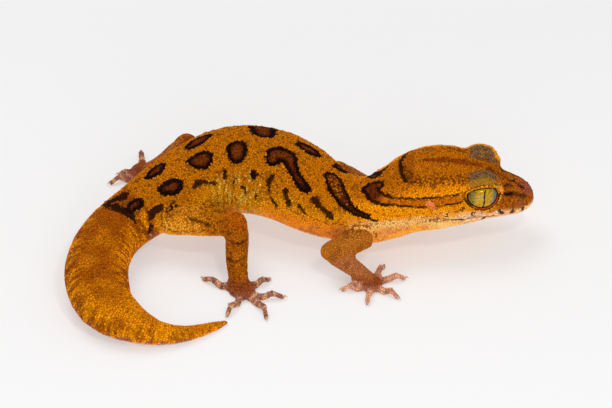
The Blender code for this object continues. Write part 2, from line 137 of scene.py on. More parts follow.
# %% [markdown]
# ## The camera
# The photograph looks at the animal's right side from 37 degrees above the floor. The lens is long, so that
# far and near parts keep their sizes. One millimetre at the model is 7.4 pixels of the 612 x 408 picture, and
# that one number places the camera, and later tells where a spot in the picture lies on the skin.

# %% The camera
ELEVATION = math.radians(37)
PIXELS_PER_MM = 7.4
PHOTO_SIZE = (612, 408)
ORIGIN_PIXEL = (299.64, 249.64)  # where the picture shows the middle of the model's base
LENS = 800
SENSOR = 36
VIEW_UP = np.array([0, math.sin(ELEVATION), math.cos(ELEVATION)])
VIEW_WAY = np.array([0, math.cos(ELEVATION), -math.sin(ELEVATION)])


def seen_at(u, v):
    """The point at pixel u, v of the picture, on the plane through the model's base that faces the camera."""
    across = (u - ORIGIN_PIXEL[0]) / PIXELS_PER_MM
    up = (ORIGIN_PIXEL[1] - v) / PIXELS_PER_MM
    return np.array([across, 0, 0]) + VIEW_UP * up


aim = seen_at(PHOTO_SIZE[0] / 2, PHOTO_SIZE[1] / 2)
away = PHOTO_SIZE[0] / PIXELS_PER_MM * LENS / SENSOR
camera_place = Vector((aim - VIEW_WAY * away) * MM)
bpy.ops.object.camera_add(location=camera_place, rotation=(math.pi / 2 - ELEVATION, 0, 0))
camera = bpy.context.object
camera.data.lens = LENS
camera.data.sensor_width = SENSOR
camera.data.clip_end = 10
bpy.context.scene.camera = camera
print("camera at", [round(c, 3) for c in camera.location])

# %% [markdown]
# ## The line of the body
# Every scale and every spot needs an address on the animal: how far along the body it is and how far round.
# So the body has a spine, a smooth curve through the middles of its sections from the tail's tip to the
# snout, with the half width and the height there. The head also leans a little to its right.

# %% The spine
SPINE = (  # x, y, z of the middle, half width, height over it
    (-9.74, -16.39, 0.32, 0.40, 0.38),
    (-12.74, -18.59, 0.72, 0.82, 0.78),
    (-16.14, -20.09, 1.05, 1.20, 1.15),
    (-19.44, -20.39, 1.60, 1.80, 1.75),
    (-22.94, -19.09, 2.40, 3.10, 2.60),
    (-25.74, -16.59, 2.85, 3.85, 3.10),
    (-27.14, -12.09, 3.15, 4.30, 3.40),
    (-27.04, -6.19, 3.20, 4.30, 3.45),
    (-24.74, -0.39, 3.60, 4.15, 3.35),
    (-21.44, 2.11, 5.00, 4.35, 3.60),
    (-18.14, 4.21, 6.20, 4.80, 4.00),
    (-13.94, 6.51, 6.90, 5.80, 4.60),
    (-9.34, 8.01, 7.40, 6.90, 5.20),
    (-5.14, 7.81, 7.40, 7.10, 5.30),
    (-1.34, 6.11, 7.20, 6.60, 5.00),
    (2.56, 3.26, 7.00, 5.80, 3.70),
    (6.36, 1.51, 6.80, 4.95, 2.95),
    (10.46, 1.31, 6.60, 4.65, 3.60),
    (13.56, 2.41, 7.10, 5.20, 4.05),
    (16.16, 3.31, 7.50, 6.00, 4.60),
    (18.96, 3.81, 7.60, 6.20, 4.85),
    (21.66, 3.81, 7.45, 5.60, 4.85),
    (24.46, 3.81, 7.15, 4.60, 4.15),
    (27.06, 3.81, 6.85, 3.75, 2.55),
    (29.26, 3.81, 6.50, 2.95, 1.85),
    (31.61, 3.81, 6.05, 2.40, 1.55),
)
HEAD_MIDDLE = 3.81  # y of the plane between the head's left and right
HEAD_TILT = 7.0  # degrees
TILT_HEIGHT = 7.3
TILT_SPAN = (11.86, 17.86)  # x where the neck starts and ends to lean
SPINE_ROWS = 500  # points of the smooth curve
BATCH = 20000  # points looked up at a time, to save memory


def smooth_line(rows, count):
    """A curve through rows, read at even steps, by Catmull and Rom's rule."""
    rows = np.array(rows, float)
    padded = np.vstack([2 * rows[0] - rows[1], rows, 2 * rows[-1] - rows[-2]])
    spots = np.linspace(0, len(rows) - 1.000001, count * 4)
    k = spots.astype(int)
    t = (spots - k)[:, None]
    p0, p1, p2, p3 = padded[k], padded[k + 1], padded[k + 2], padded[k + 3]
    line = 2 * p1 + (p2 - p0) * t
    curve = 0.5 * (line + (2 * p0 - 5 * p1 + 4 * p2 - p3) * t**2 + (3 * p1 - p0 - 3 * p2 + p3) * t**3)
    run = np.concatenate([[0], np.cumsum(np.linalg.norm(np.diff(curve[:, :3], axis=0), axis=1))])
    even = np.linspace(0, run[-1], count)
    return even, np.column_stack([np.interp(even, run, curve[:, i]) for i in range(curve.shape[1])])


def leaned(points, way=1):
    """Points of the head turned with its tilt, or back again with way -1."""
    points = np.array(points, float)
    turn = np.radians(HEAD_TILT) * ease(points[:, 0], *TILT_SPAN) * way
    y, z = points[:, 1] - HEAD_MIDDLE, points[:, 2] - TILT_HEIGHT
    points[:, 1] = HEAD_MIDDLE + y * np.cos(turn) - z * np.sin(turn)
    points[:, 2] = TILT_HEIGHT + y * np.sin(turn) + z * np.cos(turn)
    return points


spine_run, spine = smooth_line(SPINE, SPINE_ROWS)
spine_way = unit(np.gradient(spine[:, :3], axis=0))
spine_side = unit(np.cross(spine_way, (0, 0, 1)))
spine_over = np.cross(spine_side, spine_way)
BODY_LENGTH = spine_run[-1]
print("length along the body", round(BODY_LENGTH, 1), "mm")


def address(points):
    """How far along the body each point is, and its angle from the top of the back, right side positive."""
    flat = leaned(points, -1)
    along, angle = np.zeros(len(flat)), np.zeros(len(flat))
    for start in range(0, len(flat), BATCH):
        part = flat[start : start + BATCH]
        apart = ((part[:, None, :] - spine[None, ::2, :3]) ** 2).sum(axis=2)
        near = apart.argmin(axis=1) * 2
        rel = part - spine[near, :3]
        step = np.clip((rel * spine_way[near]).sum(axis=1), -0.3, 0.3)
        rel = rel - spine_way[near] * step[:, None]
        along[start : start + BATCH] = spine_run[near] + step
        across, rise = (rel * spine_side[near]).sum(axis=1), (rel * spine_over[near]).sum(axis=1)
        angle[start : start + BATCH] = np.arctan2(across, rise)
    return along, angle


def spine_row(along):
    """The number of the spine's point at places along it."""
    last = SPINE_ROWS - 1
    return np.clip((along / BODY_LENGTH * last).astype(int), 0, last)


def girth(along):
    """Mean radius of the body at places along it, which turns an angle into millimetres of skin."""
    return (np.interp(along, spine_run, spine[:, 3]) + np.interp(along, spine_run, spine[:, 4])) / 2


# %% [markdown]
# ## The skin
# A real animal has one skin with no joins, but the solids are parted by gaps of 0.3 mm. Modelling a new skin
# by hand would lose their outline. Instead copies of the solids are swollen until the gaps close, wrapped in
# one even net of small squares by a voxel remesh, shrunk back, and smoothed so that the facets go. Copies of
# the eyeballs fill their sockets, so that no hollow is left behind the lids. The smoothing takes a step in
# and a step out in turn, which keeps thin toes from wasting away. The swollen copies also keep the name of
# the part that each face came from, to tell legs from body later.

# %% Toes and their tips
HANDS = {  # x and y of the palm's middle, and for each toe: way in degrees, length, first and second bend
    "hand_right": (
        9.76,
        -8.09,
        ((70, 4.0, -6, 0), (23, 4.5, -15, 0), (313, 4.5, 22, -20), (261, 4.2, 0, 0), (209, 4.2, -28, 8)),
    ),
    "hand_left": (
        12.06,
        11.01,
        ((-70, 4.0, 6, 0), (-23, 4.5, 15, 0), (47, 4.5, -22, 20), (99, 3.9, 0, 0), (151, 3.8, 28, -8)),
    ),
    "foot_right": (
        -7.74,
        -9.59,
        ((160, 5.8, -14, 0), (257, 5.8, -25, 20), (305, 6.9, -3, -25), (331, 5.9, 38, -12), (33, 4.2, 0, 6)),
    ),
    "foot_left": (
        -21.34,
        17.11,
        ((94, 4.2, 0, 0), (199, 3.2, -10, -12), (223, 5.2, -43, 33), (-12, 4.9, 10, 0), (38, 4.0, 0, 0)),
    ),
}
TOE_SPLIT = (0.55, 0.25, 0.2)  # share of a toe's length in each of its three lengths
TOE_HEIGHTS = (0.62, 0.52, 1.0, 0.44)
TOE_TIP = 0.43  # radius of the toe's end


def toe_line(palm_x, palm_y, toe):
    """The middle line of a toe: its root, its two bends and its tip."""
    way, length, first, second = toe
    places = [np.array([palm_x, palm_y, TOE_HEIGHTS[0]])]
    for share, turn, height in zip(TOE_SPLIT, (way, way + first, way + first + second), TOE_HEIGHTS[1:]):
        step = np.array([math.cos(math.radians(turn)), math.sin(math.radians(turn)), 0]) * share * length
        places.append(np.append((places[-1] + step)[:2], height))
    return np.array(places)


toe_lines = {name: [toe_line(x, y, toe) for toe in toes] for name, (x, y, toes) in HANDS.items()}
tips = []
for name, lines in toe_lines.items():
    tips += [(name, line[-1], unit((line[-1] - line[-2]) * (1, 1, 0))) for line in lines]
print("toes:", len(tips))

# %% One flesh copy of the solids
SWELL = 0.2
flesh_names = sorted(name for name in nodes if not name.startswith("eye"))
fillings = sorted(name for name in nodes if name.startswith("eye"))  # they fill the sockets of the head
flesh_points, flesh_faces, flesh_label = [], [], []
for name in flesh_names + fillings:
    copy = bpy.data.objects.new(name + "_copy", nodes[name].data.copy())
    bpy.context.scene.collection.objects.link(copy)
    copy.data.transform(Matrix.Scale(1 / MM, 4))
    only(copy)
    bpy.ops.object.mode_set(mode="EDIT")
    bpy.ops.mesh.select_all(action="SELECT")
    bpy.ops.mesh.remove_doubles(threshold=0.001)
    bpy.ops.object.mode_set(mode="OBJECT")
    points = read(copy)
    normals = read(copy, "normal")
    for owner, tip, out in tips:
        if owner == name:
            ahead = (points - tip) @ out
            beside = np.linalg.norm((points - tip)[:, :2] - ahead[:, None] * out[:2], axis=1)
            claw = (ahead > TOE_TIP * 0.8) & (beside < 0.5) & (ahead < 2)
            points[claw] -= out * (ahead[claw] - TOE_TIP * 0.8)[:, None]
    triangles = np.array([p.vertices[:] for p in copy.data.polygons])
    flesh_faces.append(triangles + sum(len(p) for p in flesh_points))
    flesh_label.append(np.full(len(triangles), flesh_names.index("head" if name in fillings else name)))
    flesh_points.append(points + normals * SWELL)
    bpy.data.objects.remove(copy)
flesh_points = np.vstack(flesh_points)
flesh_faces = np.vstack(flesh_faces)
flesh_label = np.concatenate(flesh_label)
flesh_tree = BVHTree.FromPolygons(flesh_points.tolist(), flesh_faces.tolist())
skin = mesh_of("skin", flesh_points, flesh_faces)
print("swollen solids:", len(flesh_faces), "triangles")

# %% One even net over them
NET = 0.266  # size of a square of the net
only(skin)
wrap = skin.modifiers.new("wrap", "REMESH")
wrap.mode = "VOXEL"
wrap.voxel_size = NET
bpy.ops.object.modifier_apply(modifier=wrap.name)
print("net:", len(skin.data.vertices), "points,", len(skin.data.polygons), "squares")

# %% Smooth and shrink
SCALE_DEPTH = 0.07  # the skin lies this far inside the solids, for the scales to fill
LOWEST_FOOT = 0.7  # height under which the soles keep more of their thickness


def edges_of(thing):
    values = np.zeros(len(thing.data.edges) * 2, np.int32)
    thing.data.edges.foreach_get("vertices", values)
    return values.reshape(-1, 2)


def neighbour_mean(values, edges):
    """For every point of a net, the mean of its neighbours' values."""
    count = np.maximum(np.bincount(edges.ravel(), minlength=len(values)), 1)
    total = np.zeros_like(values)
    for axis in range(values.shape[1]):
        total[:, axis] = np.bincount(edges[:, 0], values[edges[:, 1], axis], len(values))
        total[:, axis] += np.bincount(edges[:, 1], values[edges[:, 0], axis], len(values))
    return total / count[:, None]


def smooth(points, edges, rounds):
    for _ in range(rounds):
        for step in (0.5, -0.52):
            points = points + (neighbour_mean(points, edges) - points) * step
    return points


edges = edges_of(skin)
write(skin, smooth(read(skin), edges, 12))
sink = SWELL + SCALE_DEPTH * ease(read(skin)[:, 2], 0.1, LOWEST_FOOT)
write(skin, read(skin) - read(skin, "normal") * sink[:, None])
write(skin, smooth(read(skin), edges, 3))
print("skin from", read(skin).min(axis=0).round(2), "to", read(skin).max(axis=0).round(2))

# %% [markdown]
# ## Where the eyes look
# A gecko's eye is a ball under a clear scale, with no lids that close: the slit pupil and the iris show
# through. The balls sit where the solids' eyeballs sit and look out, a little forward and up. The gap between
# the lid edges is flat above and deep below, so its two halves are half ovals of different height.

# %% Frames and outlines of the eyes
EYE_YAW = 10.0
EYE_LIFT = 25.0
EYE_DEPTH = 1.87  # half the ball along its axis
EYE_RADIUS = 2.38  # and along the gap of the lids
EYE_TALL = 2.1  # and across the gap
GAP_HALF = 2.05  # half length of the gap between the lids
GAP_FORWARD = 0.14  # how far the gap's middle lies before the eye's
GAP_TOP = 1.42
GAP_BOTTOM = -1.12
GAP_CORNER = 0.52  # height of the gap's corners over the eye's middle
SOLID_GAP = (2.14, 1.42)  # half length and height of the oval gap in the solids


def eye_frame(side):
    """Middle of an eye and its ways out, forward and up. side is -1 on the right."""
    low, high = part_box("eye_right" if side < 0 else "eye_left")
    middle = (np.array(low) + np.array(high)) / 2 / MM
    yaw, lift = math.radians(EYE_YAW), math.radians(EYE_LIFT)
    out = np.array([math.sin(yaw) * math.cos(lift), side * math.cos(yaw) * math.cos(lift), math.sin(lift)])
    forward = unit(np.cross(out, (0, 0, 1)) * side)
    up = np.cross(out, forward)
    up *= np.sign(up[2])
    turn = np.radians(HEAD_TILT)
    lean = np.array([[1, 0, 0], [0, math.cos(turn), -math.sin(turn)], [0, math.sin(turn), math.cos(turn)]])
    return middle, lean @ out, lean @ forward, lean @ up


eyes = {side: eye_frame(side) for side in (-1, 1)}


def eye_place(points, side):
    """How far out, forward and up from the middle of an eye each point lies."""
    middle, out, forward, up = eyes[side]
    rel = points - middle
    return rel @ out, rel @ forward, rel @ up


def eye_point(side, out, forward, up):
    """The points that lie this far out, forward and up from the middle of an eye."""
    middle, out_way, forward_way, up_way = eyes[side]
    return middle + np.outer(out, out_way) + np.outer(forward, forward_way) + np.outer(up, up_way)


def lid_value(forward, up):
    """1 on the edge of the lids, less in the gap between them."""
    over = up - GAP_CORNER
    half = np.where(over > 0, GAP_TOP - GAP_CORNER, GAP_CORNER - GAP_BOTTOM)
    return np.hypot((forward - GAP_FORWARD) / GAP_HALF, over / half)


def lid_margin(forward, up):
    """Millimetres outward from the edge of the lids."""
    share = 1 - 1 / np.maximum(lid_value(forward, up), 0.5)
    return share * np.hypot(forward - GAP_FORWARD, up - GAP_CORNER)


def ball_out(forward, up):
    """How far out the eyeball's front lies."""
    return EYE_DEPTH * np.sqrt(np.clip(1 - (forward / EYE_RADIUS) ** 2 - (up / EYE_TALL) ** 2, 0, 1))


print("near eye at", eyes[-1][0].round(2), "looks", eyes[-1][1].round(2), "forward", eyes[-1][2].round(2))

# %% The line of the mouth, the ears and the nostrils
MOUTH = (  # x and z of the line of the mouth, before the head leans
    (18.46, 7.25),
    (20.06, 7.30),
    (22.06, 6.90),
    (23.86, 6.60),
    (25.66, 6.25),
    (27.26, 5.80),
    (28.86, 5.40),
    (30.06, 5.20),
    (31.26, 5.15),
)
SNOUT_TURN = 29.46  # x from which the line of the mouth runs round the snout
MOUTH_STEP = 0.12  # along x, from one point of the line to the next
EAR = (17.66, 9.7)
NOSTRIL = (30.7, 7.05)
NOSTRIL_INSIDE = 1.2  # how far behind it lies the point that it is looked up from
skin_tree = BVHTree.FromObject(skin, bpy.context.evaluated_depsgraph_get())


def cast_in(target, way):
    """Where a line from outside toward a point inside the head meets the skin. Both are before the lean."""
    ends = leaned(np.array([np.array(target) + np.array(way) * 12.0, target]))
    hit = skin_tree.ray_cast(ends[0].tolist(), unit(ends[1] - ends[0]).tolist())
    return np.array(hit[0]), np.array(hit[1])


def mouth_line(side):
    """Points on the skin along the line of the mouth, from the corner to the middle of the snout."""
    table = np.array(MOUTH)
    rows = []
    for x in np.arange(MOUTH[0][0], SNOUT_TURN, MOUTH_STEP):
        rows.append(cast_in((x, HEAD_MIDDLE, np.interp(x, table[:, 0], table[:, 1])), (0, side, 0))[0])
    height = np.interp(SNOUT_TURN, table[:, 0], table[:, 1])
    for turn in np.radians(np.arange(88, -1, -4)):
        rows.append(cast_in((SNOUT_TURN, HEAD_MIDDLE, height), (math.cos(turn), side * math.sin(turn), 0))[0])
    return np.array(rows)


right_mouth, left_mouth = mouth_line(-1), mouth_line(1)
mouth = np.vstack([right_mouth, left_mouth[-2::-1]])
ears = {side: cast_in((EAR[0], HEAD_MIDDLE, EAR[1]), (0, side, 0)) for side in (-1, 1)}
nostril_inside = (NOSTRIL[0] - NOSTRIL_INSIDE, HEAD_MIDDLE, NOSTRIL[1])
nostrils = {side: cast_in(nostril_inside, (0.75, side * 0.66, 0)) for side in (-1, 1)}


def tree_of(points):
    tree = KDTree(len(points))
    for i, p in enumerate(points.tolist()):
        tree.insert(p, i)
    tree.balance()
    return tree


mouth_tree = tree_of(mouth)


def from_mouth(points):
    """Distance of points from the line of the mouth, and how far they lie over it."""
    apart, over = np.full(len(points), 99.0), np.zeros(len(points))
    for i in np.flatnonzero(points[:, 0] > 15):
        place, _, far = mouth_tree.find(points[i].tolist())
        apart[i], over[i] = far, points[i, 2] - place[2]
    return apart, over


mouth_run = np.concatenate([[0], np.cumsum(np.linalg.norm(np.diff(mouth, axis=0), axis=1))])
print("mouth", round(mouth_run[-1], 1), "mm long from corner to corner")

# %% [markdown]
# ## Modelling the face
# The even net is too coarse for lids and lips, so its squares there are cut in nine. Then the points are
# moved: the lids are drawn to the gap's outline and hug the ball, with a raised edge, and in the gap the
# skin drops behind the ball; the mouth is a groove with full lips; the ears and the nostrils are pits. A
# displacement that is a formula of a point's place in the eye's own directions does this with both eyes
# alike, which pushing points by hand would not.

# %% A finer net in the face
middles = np.zeros(len(skin.data.polygons) * 3, np.float32)
skin.data.polygons.foreach_get("center", middles)
middles = middles.reshape(-1, 3).astype(float)
fine = from_mouth(middles)[0] < 0.5
for side in eyes:
    out, forward, up = eye_place(middles, side)
    value = lid_value(forward, up)
    fine |= (value > 0.7) & (value < 1.6) & (out > 0.1)
    fine |= np.linalg.norm(middles - ears[side][0], axis=1) < 1.0
    fine |= np.linalg.norm(middles - nostrils[side][0], axis=1) < 0.5
for layer in (skin.data.vertices, skin.data.edges):
    layer.foreach_set("select", np.zeros(len(layer), bool))
skin.data.polygons.foreach_set("select", fine)
only(skin)
bpy.ops.object.mode_set(mode="EDIT")
bpy.ops.mesh.select_mode(type="FACE")
bpy.ops.mesh.subdivide(number_cuts=2, smoothness=0.6)
bpy.ops.object.mode_set(mode="OBJECT")
edges = edges_of(skin)
print("squares cut:", int(fine.sum()))

# %% Lids that hug the eyeballs
LID_RISE = 0.2  # of the lid's edge over the ball
LEAST_COVER = 0.05  # thickness of the skin over the ball
GAP_SINK = 0.4  # in the gap the skin drops by this, to lie behind the ball's front
FAR_PULL = 0.36  # the front of the far brow sits this much further back
LID_WIDTH = 0.34  # where the raised edge ends, as a share of the gap's size


def gap_reach(turn):
    """Distance from the eye's middle to the edge of the gap, in a direction."""
    steps = np.linspace(0.3, 3, 200)
    values = lid_value(np.outer(np.cos(turn), steps), np.outer(np.sin(turn), steps))
    return steps[np.argmax(values > 1, axis=1)]


turns = np.linspace(-math.pi, math.pi, 181)
wanted_reach = gap_reach(turns)
co = read(skin)
out, forward, up = eye_place(co, 1)
pull = FAR_PULL * ease(forward, 0.8, 2.8) * (1 - ease(np.hypot(forward, up), 3.6, 5.4)) * ease(out, -1.2, 0.2)
co = co - np.outer(pull, eyes[1][2])
for side in eyes:
    out, forward, up = eye_place(co, side)
    near = np.flatnonzero((out > 0.1) & (np.hypot(forward, up) < 4.2))
    out, forward, up = out[near], forward[near], up[near]
    old = np.hypot(forward / SOLID_GAP[0], up / SOLID_GAP[1])
    turn = np.arctan2(up, forward)
    solid_reach = 1 / np.hypot(np.cos(turn) / SOLID_GAP[0], np.sin(turn) / SOLID_GAP[1])
    grow = np.interp(turn, turns, wanted_reach) / solid_reach - 1
    grow = 1 + grow * (1 - ease(old, 1.0, 1.7))
    forward, up = forward * grow, up * grow
    value, ball = lid_value(forward, up), ball_out(forward, up)
    rim = 0.05 + LID_RISE * ease(value, 1.0, 1.1) * (1 - ease(value, 1.12, 1.0 + LID_WIDTH))
    hug = 1 - ease(value, 1.1, 1.6)
    lid = out + (np.maximum(ball + rim, 0.35) - out) * hug
    lid = np.maximum(lid + rim * (1 - hug) * 0.6, ball + LEAST_COVER)
    out = np.where(value < 1, ball + 0.05 - GAP_SINK * ease(1 - value, 0.0, 0.16), lid)
    co[near] = eye_point(side, out, forward, up)
write(skin, co)

# %% Lips, ears and nostrils
GROOVE_DEPTH = 0.17
GROOVE_WIDTH = 0.11
LIP_SWELL = 0.08
LIP_AWAY = 0.42  # distance of a lip's crest from the groove
LIP_WIDTH = 0.28
co, normals = read(skin), read(skin, "normal")
apart, over = from_mouth(co)
push = -GROOVE_DEPTH * np.exp(-((apart / GROOVE_WIDTH) ** 2))
push = push + LIP_SWELL * np.exp(-(((apart - LIP_AWAY) / LIP_WIDTH) ** 2))


def pit(place, slant, half_length, half_width, depth):
    """Push inward in an oval pit whose long way has this slant in degrees, with a small rim."""
    middle, normal = place
    ahead = unit(np.cross(normal, (0, 0, 1)))
    ahead = ahead * np.sign(ahead[0])
    above = np.cross(normal, ahead)
    above *= np.sign(above[2])
    turn = math.radians(slant)
    rel = co - middle
    along, across = rel @ ahead, rel @ above
    long_way = along * math.cos(turn) + across * math.sin(turn)
    short_way = across * math.cos(turn) - along * math.sin(turn)
    value = np.hypot(long_way / half_length, short_way / half_width)
    close = np.linalg.norm(rel, axis=1) < 2
    dent = -depth * (1 - ease(value, 0.45, 1.0)) + 0.05 * np.exp(-(((value - 1.25) / 0.25) ** 2))
    return np.where(close, dent, 0), value + 9 * ~close


ear_value = np.full(len(co), 9.0)
nostril_value = np.full(len(co), 9.0)
for side in eyes:
    ear_push, value = pit(ears[side], -38, 0.72, 0.42, 0.3)
    ear_value = np.minimum(ear_value, value)
    nostril_push, value = pit(nostrils[side], 30, 0.26, 0.17, 0.22)
    nostril_value = np.minimum(nostril_value, value)
    push = push + ear_push + nostril_push
write(skin, co + normals * push[:, None])

# %% The address of every point of the skin
LABELS = {name: i for i, name in enumerate(flesh_names)}
KINDS = ("head", "neck", "chest", "back", "tail", "arm", "leg", "toes")
KIND_WORDS = {
    "head": "head",
    "neck": "neck",
    "torso_front": "chest",
    "torso_rear": "back",
    "tail": "tail",
    "upper_arm": "arm",
    "forearm": "arm",
    "thigh": "leg",
    "shank": "leg",
    "hand": "toes",
    "foot": "toes",
}


def kind_number(name):
    """The number of the kind that a solid belongs to."""
    return next(KINDS.index(kind) for word, kind in KIND_WORDS.items() if name.startswith(word))


def among(kind, *names):
    """Which of the numbers of kinds stand for one of these names."""
    return np.isin(kind, [KINDS.index(name) for name in names])


kind_of_label = np.array([kind_number(name) for name in flesh_names])
co = read(skin)
skin_label = np.array([flesh_label[flesh_tree.find_nearest(p)[2]] for p in co.tolist()])
skin_kind = kind_of_label[skin_label]
skin_along, skin_angle = address(co)
print("points on the head:", int(among(skin_kind, "head").sum()), "of", len(co))

# %% [markdown]
# ## Folds of the flank and creases at the legs
# The standing animal's loose flank falls into upright folds behind the ribs, and the skin creases where legs
# join the body. The folds are a wave along the body, kept to that stretch of the flank. The creases follow
# the line where points of a leg meet points of the body.

# %% Folds and creases
FOLD_STEP = 0.86  # between two folds
FOLD_HEIGHT = 0.11
CREASE_DEPTH = 0.2
CREASE_REACH = 0.55
TOE_TRIM = 0.07  # toes are this much thinner than the solids, for the scales that cover them


def trees():
    return BVHTree.FromObject(skin, bpy.context.evaluated_depsgraph_get())


skin_tree = trees()


def cast(u, v):
    """Where the camera's line through a pixel meets the skin."""
    start = seen_at(u, v) - VIEW_WAY * 200
    hit = skin_tree.ray_cast(start.tolist(), VIEW_WAY.tolist())[0]
    return None if hit is None else np.array(hit)


fold_ends = address(np.array([cast(212, 195), cast(262, 195)]))[0]


def fold_wave(along, angle):
    """-1 to 1 across the folds of the flank, and how strong the folds are."""
    steep = np.degrees(np.abs(angle))
    wobble = 0.25 * np.sin(steep / 13) + 0.2 * np.sin(along * 1.7)
    strong = ease(along, fold_ends[0] - 1, fold_ends[0] + 1)
    strong = strong * (1 - ease(along, fold_ends[1] - 1.5, fold_ends[1] + 0.5))
    strong = strong * ease(steep, 48, 66) * (1 - ease(steep, 112, 130))
    return np.sin((along + wobble) / FOLD_STEP * math.tau), strong


wave, strong = fold_wave(skin_along, skin_angle)
trunk = among(skin_kind, "head", "neck", "chest", "back", "tail")
push = FOLD_HEIGHT * wave * strong * trunk
limb = among(skin_kind, "arm", "leg")
seam = edges[(trunk[edges[:, 0]] & limb[edges[:, 1]]) | (limb[edges[:, 0]] & trunk[edges[:, 1]])]
seam_tree = tree_of(co[np.unique(seam)])
from_seam = np.array([seam_tree.find(p)[2] for p in co.tolist()])
push = push - CREASE_DEPTH * (1 - ease(from_seam, 0, CREASE_REACH))
sole = ease(-read(skin, "normal")[:, 2], 0.5, 0.9)
push = push - TOE_TRIM * among(skin_kind, "toes") * (1 - sole)
write(skin, co + read(skin, "normal") * push[:, None])
co, normals = read(skin), read(skin, "normal")
skin_tree = trees()
skin.data.calc_loop_triangles()
triangles = np.zeros(len(skin.data.loop_triangles) * 3, np.int32)
skin.data.loop_triangles.foreach_get("vertices", triangles)
triangles = triangles.reshape(-1, 3)
print("skin:", len(triangles), "triangles, folds from", fold_ends.round(1), "mm of the body")

# %% [markdown]
# ## Seeds for the scales
# The scales of this gecko are small grains that fit side by side like cobbles, finer on the head and toes.
# Cobbles come from spreading seeds evenly and giving each the ground that is nearer to it than to any other.
# So the seeds are scattered at random, in numbers that follow the wanted spacing, and then each moves to the
# middle of its own ground a few times over. Rings on the tail and plates along the lips are laid by rule.

# %% How far apart the scales are
PITCH = dict(zip(KINDS, (0.28, 0.29, 0.30, 0.30, 0.31, 0.28, 0.29, 0.25)))
BELLY_PITCH = 0.46
LID_BARE = 0.54  # free seeds keep this far from the edges of the lids
LABIAL_PITCH = 0.92
LABIAL_STRIP = 0.62  # free seeds keep this far from the line of the mouth
LABIAL_START = 3.2  # length of the mouth, from its corner, without plates
MOUTH_GRAIN = 0.16  # dark grains that line the mouth
base_pitch = np.array([PITCH[kind] for kind in KINDS])


def pitch_at(kind, along, angle, points):
    """Wanted spacing of the scales in millimetres."""
    pitch = base_pitch[kind]
    belly = ease(np.abs(angle), math.radians(115), math.radians(150)) * among(kind, "neck", "chest", "back")
    pitch = pitch + (BELLY_PITCH - pitch) * belly
    for side in eyes:
        out, forward, up = eye_place(points, side)
        close = 1 - ease(np.hypot(forward, up), 2.4, 3.6)
        pitch = pitch * (1 - 0.2 * close * (out > 0))
    return pitch


# %% Scatter over the skin
corners = co[triangles]
area = np.linalg.norm(np.cross(corners[:, 1] - corners[:, 0], corners[:, 2] - corners[:, 0]), axis=1) / 2
middle = corners.mean(axis=1)
first = triangles[:, 0]
pitch = pitch_at(skin_kind[first], skin_along[first], skin_angle[first], middle)
share = area / (0.866 * pitch**2)
for side in eyes:
    out, forward, up = eye_place(middle, side)
    share[(lid_margin(forward, up) < LID_BARE) & (out > 0)] = 0
apart, over = from_mouth(middle)
labial = (apart < LABIAL_STRIP) & (middle[:, 0] > mouth[int(LABIAL_START / MOUTH_STEP), 0])
share[labial | (apart < 0.12) | (ear_value[first] < 0.8) | (nostril_value[first] < 0.9)] = 0
share[among(skin_kind[first], "tail") | (middle[:, 2] < 0.1)] = 0
seed_count = int(share.sum())
print("skin area", round(area.sum()), "mm2, free scales", seed_count)

CROWD = 5  # trial points for each scale
spots = luck.choice(len(triangles), seed_count * CROWD, p=share / share.sum())
a, b = luck.random((2, len(spots)))
flip = a + b > 1
a[flip], b[flip] = 1 - a[flip], 1 - b[flip]
p, q, r = corners[spots].transpose(1, 0, 2)
trial = p * (1 - a - b)[:, None] + q * a[:, None] + r * b[:, None]

# %% Rings of the tail, plates of the lips, and grains of the lid edges and of the line of the mouth
TAIL_RING = 0.3  # along the tail
TAIL_JITTER = 0.36  # of a scale's place, as a share of its spacing
TAIL_FIRST = 0.35
LID_RINGS = ((0.04, 92), (0.25, 58), (0.45, 62))  # rings round the lids: distance from their edge, grains
tail_end = skin_along[among(skin_kind, "tail")].max()
nearest = skin_tree.find_nearest
rings = []
for row, at in enumerate(np.arange(TAIL_FIRST, tail_end, TAIL_RING)):
    i = spine_row(at)
    count = max(6, int(math.tau * girth(at) / PITCH["tail"]))
    slots = np.arange(count) + 0.5 * (row % 2) + luck.uniform(-TAIL_JITTER, TAIL_JITTER, count)
    for turn in slots * math.tau / count:
        way = spine_over[i] * math.cos(turn) + spine_side[i] * math.sin(turn)
        way = way + spine_way[i] * luck.uniform(-0.06, 0.06)
        hit = skin_tree.ray_cast(spine[i, :3].tolist(), way.tolist())[0]
        if hit is not None and hit.z > 0.1:
            rings.append(hit)
rings = np.array(rings)
point_tree = tree_of(co)


def net_point(points):
    """The nearest corner of the net to each point."""
    return np.array([point_tree.find(p)[1] for p in points.tolist()])


rings = rings[among(skin_kind[net_point(rings)], "tail")]
plates = []
half_way = mouth_run[-1] / 2
plate_count = int((half_way - LABIAL_START) / LABIAL_PITCH)
for lift, shift in ((0.5, 0.0), (-0.42, 0.5)):
    for k in range(-plate_count, plate_count + 1):
        at = half_way + (k + shift) * LABIAL_PITCH
        place = np.array([np.interp(at, mouth_run, mouth[:, i]) for i in range(3)])
        plates.append(nearest((place + np.array([0, 0, lift * 0.9])).tolist())[0])
plates = np.array(plates)
fringe, fringe_pitch = [], []
for side in eyes:
    for margin, count in LID_RINGS:
        turn = np.linspace(0, math.tau, count, endpoint=False)
        half = np.where(np.sin(turn) > 0, GAP_TOP - GAP_CORNER, GAP_CORNER - GAP_BOTTOM)
        size = 1 + margin / np.hypot(GAP_HALF * np.cos(turn), half * np.sin(turn))
        forward, up = GAP_FORWARD + GAP_HALF * size * np.cos(turn), GAP_CORNER + half * size * np.sin(turn)
        ring = eye_point(side, ball_out(forward, up) + 0.25, forward, up)
        fringe += [nearest(p)[0] for p in ring.tolist()]
        fringe_pitch.append(np.full(count, 0.2 if margin > 0.1 else 0.11))
fringe = np.array(fringe)
mouth_grains = []
